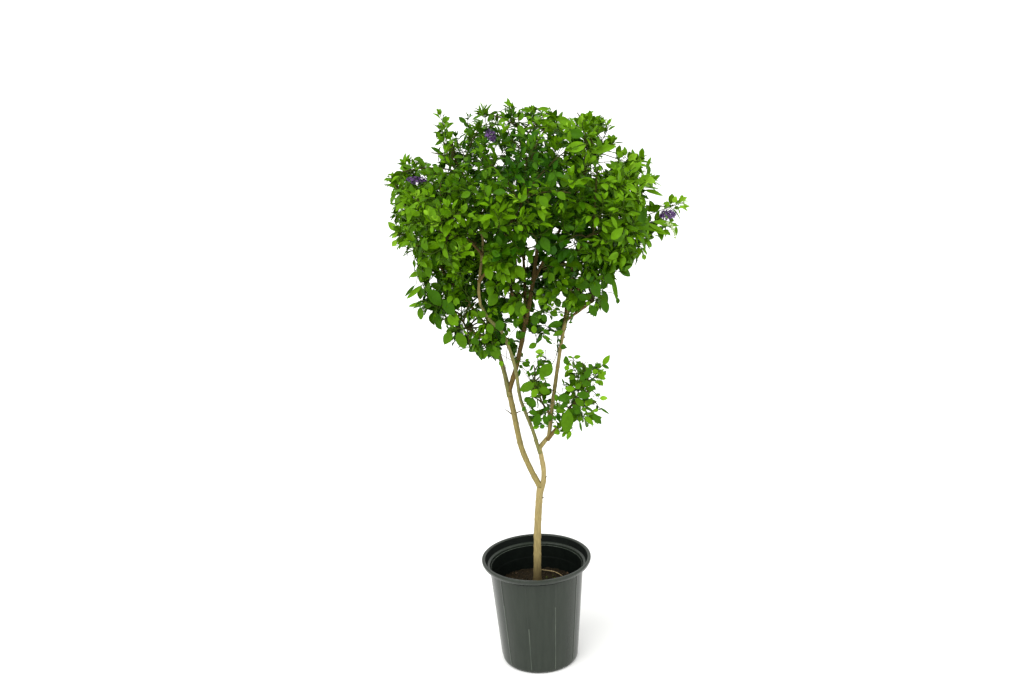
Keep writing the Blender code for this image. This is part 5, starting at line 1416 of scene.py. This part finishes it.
def lone_leaves(wood, rng):
    """The leaves placed one by one: their stems from the nearest wood, and arrays with a row for each leaf.

    The arrays are foot of the stalk, foot of the blade, direction, upper side, length, tone and width.
    """
    rows = np.array([(x, y, z, tip_x, y - step, tip_z, tone, width)
                     for step, group in LONE_LEAVES for x, y, z, tip_x, tip_z, tone, width in group])
    feet, tips = rows[:, :3] / 1000, rows[:, 3:6] / 1000
    ways = unit(tips - feet)
    starts = wood[np.argmin(np.linalg.norm(feet[:, None] - wood[None], axis=2), axis=1)]
    roots = feet - ways * PETIOLE
    stems = [bend(a, (a + b) / 2 + LONE_STEM_RISE, b, SHOOT_STEPS) for a, b in zip(starts, roots)]
    uppers = squared(unit(rng.normal(0, LONE_LEAF_CHANCE, feet.shape) + LONE_LEAF_UPPER), ways)
    return stems, (roots, feet, ways, uppers, np.linalg.norm(tips - feet, axis=1), rows[:, 6], rows[:, 7] / 100)


def bearing(masses, leafy):
    """Which shoots carry leaves, or carry shoots that do."""
    parents = []
    for mass in masses:
        base = len(parents)
        parents += [parent + base if parent >= 0 else -1 for parent in mass.parents]
    for index in range(len(parents) - 1, -1, -1):
        if leafy[index] and parents[index] >= 0:
            leafy[parents[index]] = True
    return leafy[:len(parents)]


class PLANT_OT_foliage(bpy.types.Operator):
    """Grow stems, twigs, shoots and leaves from the tips of the boughs"""
    bl_idname = "plant.foliage"
    bl_label = "Twigs and leaves"

    def execute(self, context):
        leaf = context.scene.plant_leaf
        bark = context.scene.plant_bark
        rng = np.random.default_rng(leaf.seed)
        limbs = plan_limbs()
        masses = [Mass(name, limbs, np.random.default_rng(leaf.seed * 100 + index), leaf.spacing)
                  for index, name in enumerate(MASSES)]
        twigs = [twig for mass in masses for twig in mass.twigs]
        shoots = np.array([shoot for mass in masses for shoot in mass.shoots])
        table = np.array(SPRIGS)
        ends = np.stack([(table[:, at] / 1000, (table[:, 1] - forward) / 1000, table[:, up] / 1000)
                         for at, up, forward in zip((0, 3, 5), (2, 4, 6), SPRIG_FORWARD)]).transpose(2, 0, 1)
        sprigs = np.stack([bend(a, 2 * b - (a + c) / 2, c, SHOOT_STEPS) for a, b, c in ends])
        routes = np.concatenate((shoots, sprigs))

        sizes = leaf.length * rng.uniform(0.75, 1.2, len(routes)) * (1 + patched(routes[:, -1], SIZE_PATCHES))
        sizes[len(shoots):] = table[:, 7] / 1000
        roots, out, lengths, levels, owner = leaves_on(routes, sizes, rng)
        ways, uppers = leaf_frames(roots, out, rng)
        # A leaf's tone: its spray's painted light and shade, lighter for the young pairs at the tip, and chance.
        light = spray_painted_light(routes[:, -1], rng)[owner] + np.array(TONE_PAIRS)[levels]
        light += rng.normal(0, TONE_NOISE[1], len(light))
        on_sprig = owner >= len(shoots)
        given = table[np.maximum(owner - len(shoots), 0), 8] - (levels > 2)
        tones = np.where(on_sprig, given, np.digitize(light, TONE_STEPS))
        kept, feet, lengths = fit_leaves(roots, ways, uppers, lengths, on_sprig, leaf, limbs)
        leafy = bearing(masses, np.bincount(owner[kept], minlength=len(routes)) > 0)

        wood = np.vstack([mass.places for mass in masses] + [evenly(route, WOOD_STEP) for route, _ in limbs.values()])
        stems, lone = lone_leaves(wood, rng)
        grown = [each[kept] for each in (roots, feet, ways, uppers, lengths, tones)]
        roots, feet, ways, uppers, lengths, tones = (np.concatenate(both) for both in zip(grown, lone))
        tones = tones.astype(int)
        widths = leaf.width * np.interp(feet[:, 2], *LEAF_ROUNDNESS) * rng.uniform(0.85, 1.15, len(feet))
        widths *= 1 + patched(feet, WIDTH_PATCHES)
        widths[-len(stems):] = lone[-1]

        # Duranta leaf: a thin waxy blade with a soft gloss, in five tones from dark and old to new and lime. A leaf's
        # tone is partly its age and partly painted light and shade: lighter at the crown's outside and top, darker
        # inside it.
        greens = [patterned("leaf_" + tone, getattr(leaf, tone), 0.78, 90.0, roughness=0.46, specular=0.08)
                  for tone in TONES]
        bands = np.array_split(np.argsort(feet[:, 2]), len(LEAF_PIECES))
        for (name, nodes), band in zip(LEAF_PIECES.items(), bands):
            points, *shapes = blades(feet[band], ways[band], uppers[band], lengths[band], widths[band], rng)
            faces = [repeated(shape, len(band), points.shape[1]) for shape in shapes]
            shades = [np.repeat(tones[band], len(shape)) for shape in shapes]
            seat(make_piece(name, points.reshape(-1, 3), faces, greens, shades), "foliage", *nodes)

        # Twigs turn from green to brown as they age, and have no gloss.
        brown = patterned("brown_twig", bark.twig, 0.6, 500.0, (1.0, 1.0, 0.3), roughness=0.85, specular=0.08)
        # Green shoots and leaf stalks: soft tissue with a slight sheen.
        green = patterned("green_shoot", bark.shoot, 0.7, 500.0, roughness=0.7, specular=0.06)
        stalks = np.stack((roots, feet + ways * STALK_OVERLAP), axis=1)
        bare = [bend(*points, SHOOT_STEPS) for points in BARE_TWIGS]
        blocks = {
            "twigs": [
                (np.stack([mass.stem for mass in masses]), np.stack([mass.stem_radii for mass in masses]), 8, 0),
                tapered(twigs, *TWIG_THICKNESS, 6, 0),
                tapered(shoots[leafy], *SHOOT_RADIUS, 4, 1),
                tapered(sprigs, *SHOOT_RADIUS, 5, 1),
                tapered(stems, *LONE_STEM_RADIUS, 4, 1),
                tapered(bare, *BARE_TWIG_RADIUS, 4, 0),
            ],
            "leaf_stalks": [(stalks, np.full((len(stalks), 2), PETIOLE_RADIUS) * (1.2, 0.8), 3, 1)],
        }
        for name, block in blocks.items():
            points, faces, shades = joined_tubes(block)
            seat(make_piece(name, points, faces, [brown, green], shades), "bark")
        return {"FINISHED"}


# Blossom

def floret():
    """A flower of five round lobes on a thin tube, facing +Z: rim radius 0.62 + 0.38 cos(5 t)."""
    angles = 2 * np.pi * np.arange(20) / 20
    lobes = 0.62 + 0.38 * np.cos(5 * angles)
    rim = np.stack((lobes * np.cos(angles), lobes * np.sin(angles), 0.10 + 0.10 * lobes), axis=1)
    inner = np.stack((0.22 * np.cos(angles[::4]), 0.22 * np.sin(angles[::4]), np.full(5, 0.02)), axis=1)
    tube = np.stack((0.12 * np.cos(angles[::4]), 0.12 * np.sin(angles[::4]), np.full(5, -1.3)), axis=1)
    points = np.vstack((rim, inner, tube))
    faces = []
    for lobe in range(5):
        following = (lobe + 1) % 5
        for step in range(4):
            corner = 20 + (lobe if step < 2 else following)
            faces.append((4 * lobe + step, (4 * lobe + step + 1) % 20, corner))
        faces.append((20 + lobe, 4 * lobe + 2, 20 + following))
        faces.append((20 + lobe, 20 + following, 25 + following))
        faces.append((20 + lobe, 25 + following, 25 + lobe))
    faces.extend((20, 20 + step, 21 + step) for step in range(1, 4))
    return points, np.array(faces)


class PLANT_OT_blossom(bpy.types.Operator):
    """Build the violet flower clusters and the green buds"""
    bl_idname = "plant.blossom"
    bl_label = "Blossom"

    def execute(self, context):
        settings = context.scene.plant_blossom
        # Petals: thin and matt, with a velvety sheen.
        light = patterned("violet_petal", settings.petal, 1.5, 300.0, roughness=0.6)
        # Florets in the darker violet are painted shade; the rest have the petal colour.
        dark = patterned("dark_violet_petal", settings.shaded_petal, settings.petal, 300.0, roughness=0.6)
        buds = patterned("green_bud", settings.bud, 0.75, 400.0, roughness=0.5)
        rng = np.random.default_rng(5)
        template, faces = floret()
        points, tones = [], []
        for place, rise, length, radius, count, dark_share in BLOSSOM:
            index = np.arange(count)
            along = (index + 0.5) / count - 0.5
            axis = unit(np.array((place[0], place[1] * 0.4, rise)))
            across, other = sideways(axis, (0.0, 0.0, 1.0))
            angle = index * GOLDEN_ANGLE
            ring = across * np.cos(angle)[:, None] + other * np.sin(angle)[:, None]
            bulge = np.sqrt(np.clip(1.05 - (2 * along) ** 2, 0.15, 1))[:, None]
            away = ring * (radius * rng.uniform(0.45, 0.85, (count, 1))) * bulge
            centres = np.array(place) + axis * (along * length)[:, None] + away
            out = unit(ring + axis * (along * 1.4)[:, None] + rng.normal(0, 0.25, (count, 3)))
            first = unit(np.cross(out, rng.normal(size=(count, 3))))
            frames = np.stack((first, np.cross(out, first), out), axis=1)
            scales = FLORET_RADIUS * rng.uniform(0.7, 1.1, count)
            points.append(stamp(template, centres, frames, scales).reshape(-1, 3))
            # Florets drawn at random, by each cluster's share, are painted dark as shade.
            tones.append(np.repeat((rng.random(count) < dark_share).astype(int), len(faces)))
        points = np.vstack(points)
        copies = repeated(faces, len(points) // len(template), len(template))
        seat(make_piece("violet_blossom", points, [copies], [light, dark], [np.concatenate(tones)]), "foliage")

        route, count, size = BUD_RACEME
        stalk = smooth_route(route, 10)
        centres = evenly(stalk[4:], distances(stalk)[-1] / count)
        rings = unit(rng.normal(size=centres.shape)) * size * 1.1
        tall = np.array(((1, 0, 0), (0.5, 0.87, 0), (-0.5, 0.87, 0), (-1, 0, 0), (-0.5, -0.87, 0), (0.5, -0.87, 0),
                         (0, 0, 1.2), (0, 0, -1.2)), float)
        ring = np.arange(6)
        sides = np.concatenate((np.stack((ring, (ring + 1) % 6, np.full(6, 6)), axis=1),
                                np.stack(((ring + 1) % 6, ring, np.full(6, 7)), axis=1)))
        frames = np.tile(np.eye(3), (len(centres), 1, 1))
        sizes = size * np.linspace(1.15, 0.6, len(centres))
        beads = stamp(tall, centres + rings, frames, sizes).reshape(-1, 3)
        points, blocks, _ = joined_tubes([(stalk[None], np.full((1, len(stalk)), 0.0005), 5, 0)])
        blocks = [repeated(sides, len(centres), len(tall))] + [block + len(beads) for block in blocks]
        seat(make_piece("green_buds", np.vstack((beads, points)), blocks, [buds]), "foliage")
        return {"FINISHED"}


# Stage

class PLANT_OT_stage(bpy.types.Operator):
    """Set the floor, the soft light and the camera"""
    bl_idname = "plant.stage"
    bl_label = "Floor, light and camera"

    def execute(self, context):
        settings = context.scene.plant_stage
        # Matt paper floor, almost white.
        paper = patterned("white_paper_floor", settings.floor, 0.985, 3.0, roughness=0.9,
                          specular=0.1)
        section = np.array([(radius, 0.0) for radius in FLOOR_RADII])
        points, quads, fans = turned_piece(section, FLOOR_SIDES)
        floor = make_piece("floor", points[:-1], [quads[:, ::-1], fans[:FLOOR_SIDES, ::-1]], [paper])

        world = bpy.data.worlds.new("studio")
        world.use_nodes = True
        sky = world.node_tree.nodes["Background"]
        sky.inputs["Color"].default_value = (1.0, 1.0, 1.0, 1.0)
        sky.inputs["Strength"].default_value = settings.sky
        context.scene.world = world
        for name, strength, turn in (("key", settings.key, (38, -12, -20)), ("fill", settings.fill, (65, 0, 60))):
            sun = bpy.data.lights.new(name, "SUN")
            sun.energy = strength
            sun.angle = math.radians(60)
            lamp = bpy.data.objects.new(name, sun)
            lamp.rotation_euler = [math.radians(angle) for angle in turn]
            context.scene.collection.objects.link(lamp)

        forward = np.array((0.0, math.cos(CAMERA_PITCH), -math.sin(CAMERA_PITCH)))
        right = np.array((1.0, 0.0, 0.0))
        up = np.cross(right, forward)
        rolled_right = math.cos(CAMERA_ROLL) * right - math.sin(CAMERA_ROLL) * up
        rolled_up = math.sin(CAMERA_ROLL) * right + math.cos(CAMERA_ROLL) * up
        lens = bpy.data.cameras.new("camera")
        lens.lens = CAMERA_LENS
        lens.sensor_width = CAMERA_SENSOR
        camera = bpy.data.objects.new("camera", lens)
        turn = Matrix(np.stack((rolled_right, rolled_up, -forward), axis=1).tolist()).to_4x4()
        camera.matrix_world = Matrix.Translation(CAMERA_PLACE) @ turn
        context.scene.collection.objects.link(camera)
        context.scene.camera = camera
        context.scene.view_settings.view_transform = "Standard"
        return {"FINISHED"}


class PLANT_PT_panel(bpy.types.Panel):
    """The plant's sizes, colours and pieces"""
    bl_idname = "PLANT_PT_panel"
    bl_label = "Potted duranta"
    bl_space_type = "VIEW_3D"
    bl_region_type = "UI"
    bl_category = "Plant"

    def draw(self, context):
        for group, (_, operators) in GROUPS.items():
            settings = getattr(context.scene, group)
            box = self.layout.box()
            for name in settings.__annotations__:
                box.prop(settings, name)
            for operator in operators:
                box.operator("plant." + operator)


GROUPS = {
    "plant_pot": (PotSettings, ("pot", "soil")),
    "plant_bark": (BarkSettings, ("limbs",)),
    "plant_leaf": (LeafSettings, ("foliage",)),
    "plant_blossom": (BlossomSettings, ("blossom",)),
    "plant_stage": (StageSettings, ("stage",)),
}
CLASSES = (*(group for group, _ in GROUPS.values()), PLANT_OT_pot, PLANT_OT_soil, PLANT_OT_limbs,
           PLANT_OT_foliage, PLANT_OT_blossom, PLANT_OT_stage, PLANT_PT_panel)


def register():
    """Register the classes, and the settings on the scene."""
    for each in CLASSES:
        bpy.utils.register_class(each)
    for name, (group, _) in GROUPS.items():
        setattr(bpy.types.Scene, name, PointerProperty(type=group))


def unregister():
    """Take the settings and the classes away again."""
    for name in GROUPS:
        delattr(bpy.types.Scene, name)
    for each in reversed(CLASSES):
        bpy.utils.unregister_class(each)


def main():
    """Build every piece and the stage."""
    register()
    for _, operators in GROUPS.values():
        for operator in operators:
            getattr(bpy.ops.plant, operator)()


if __name__ == "__main__":
    main()
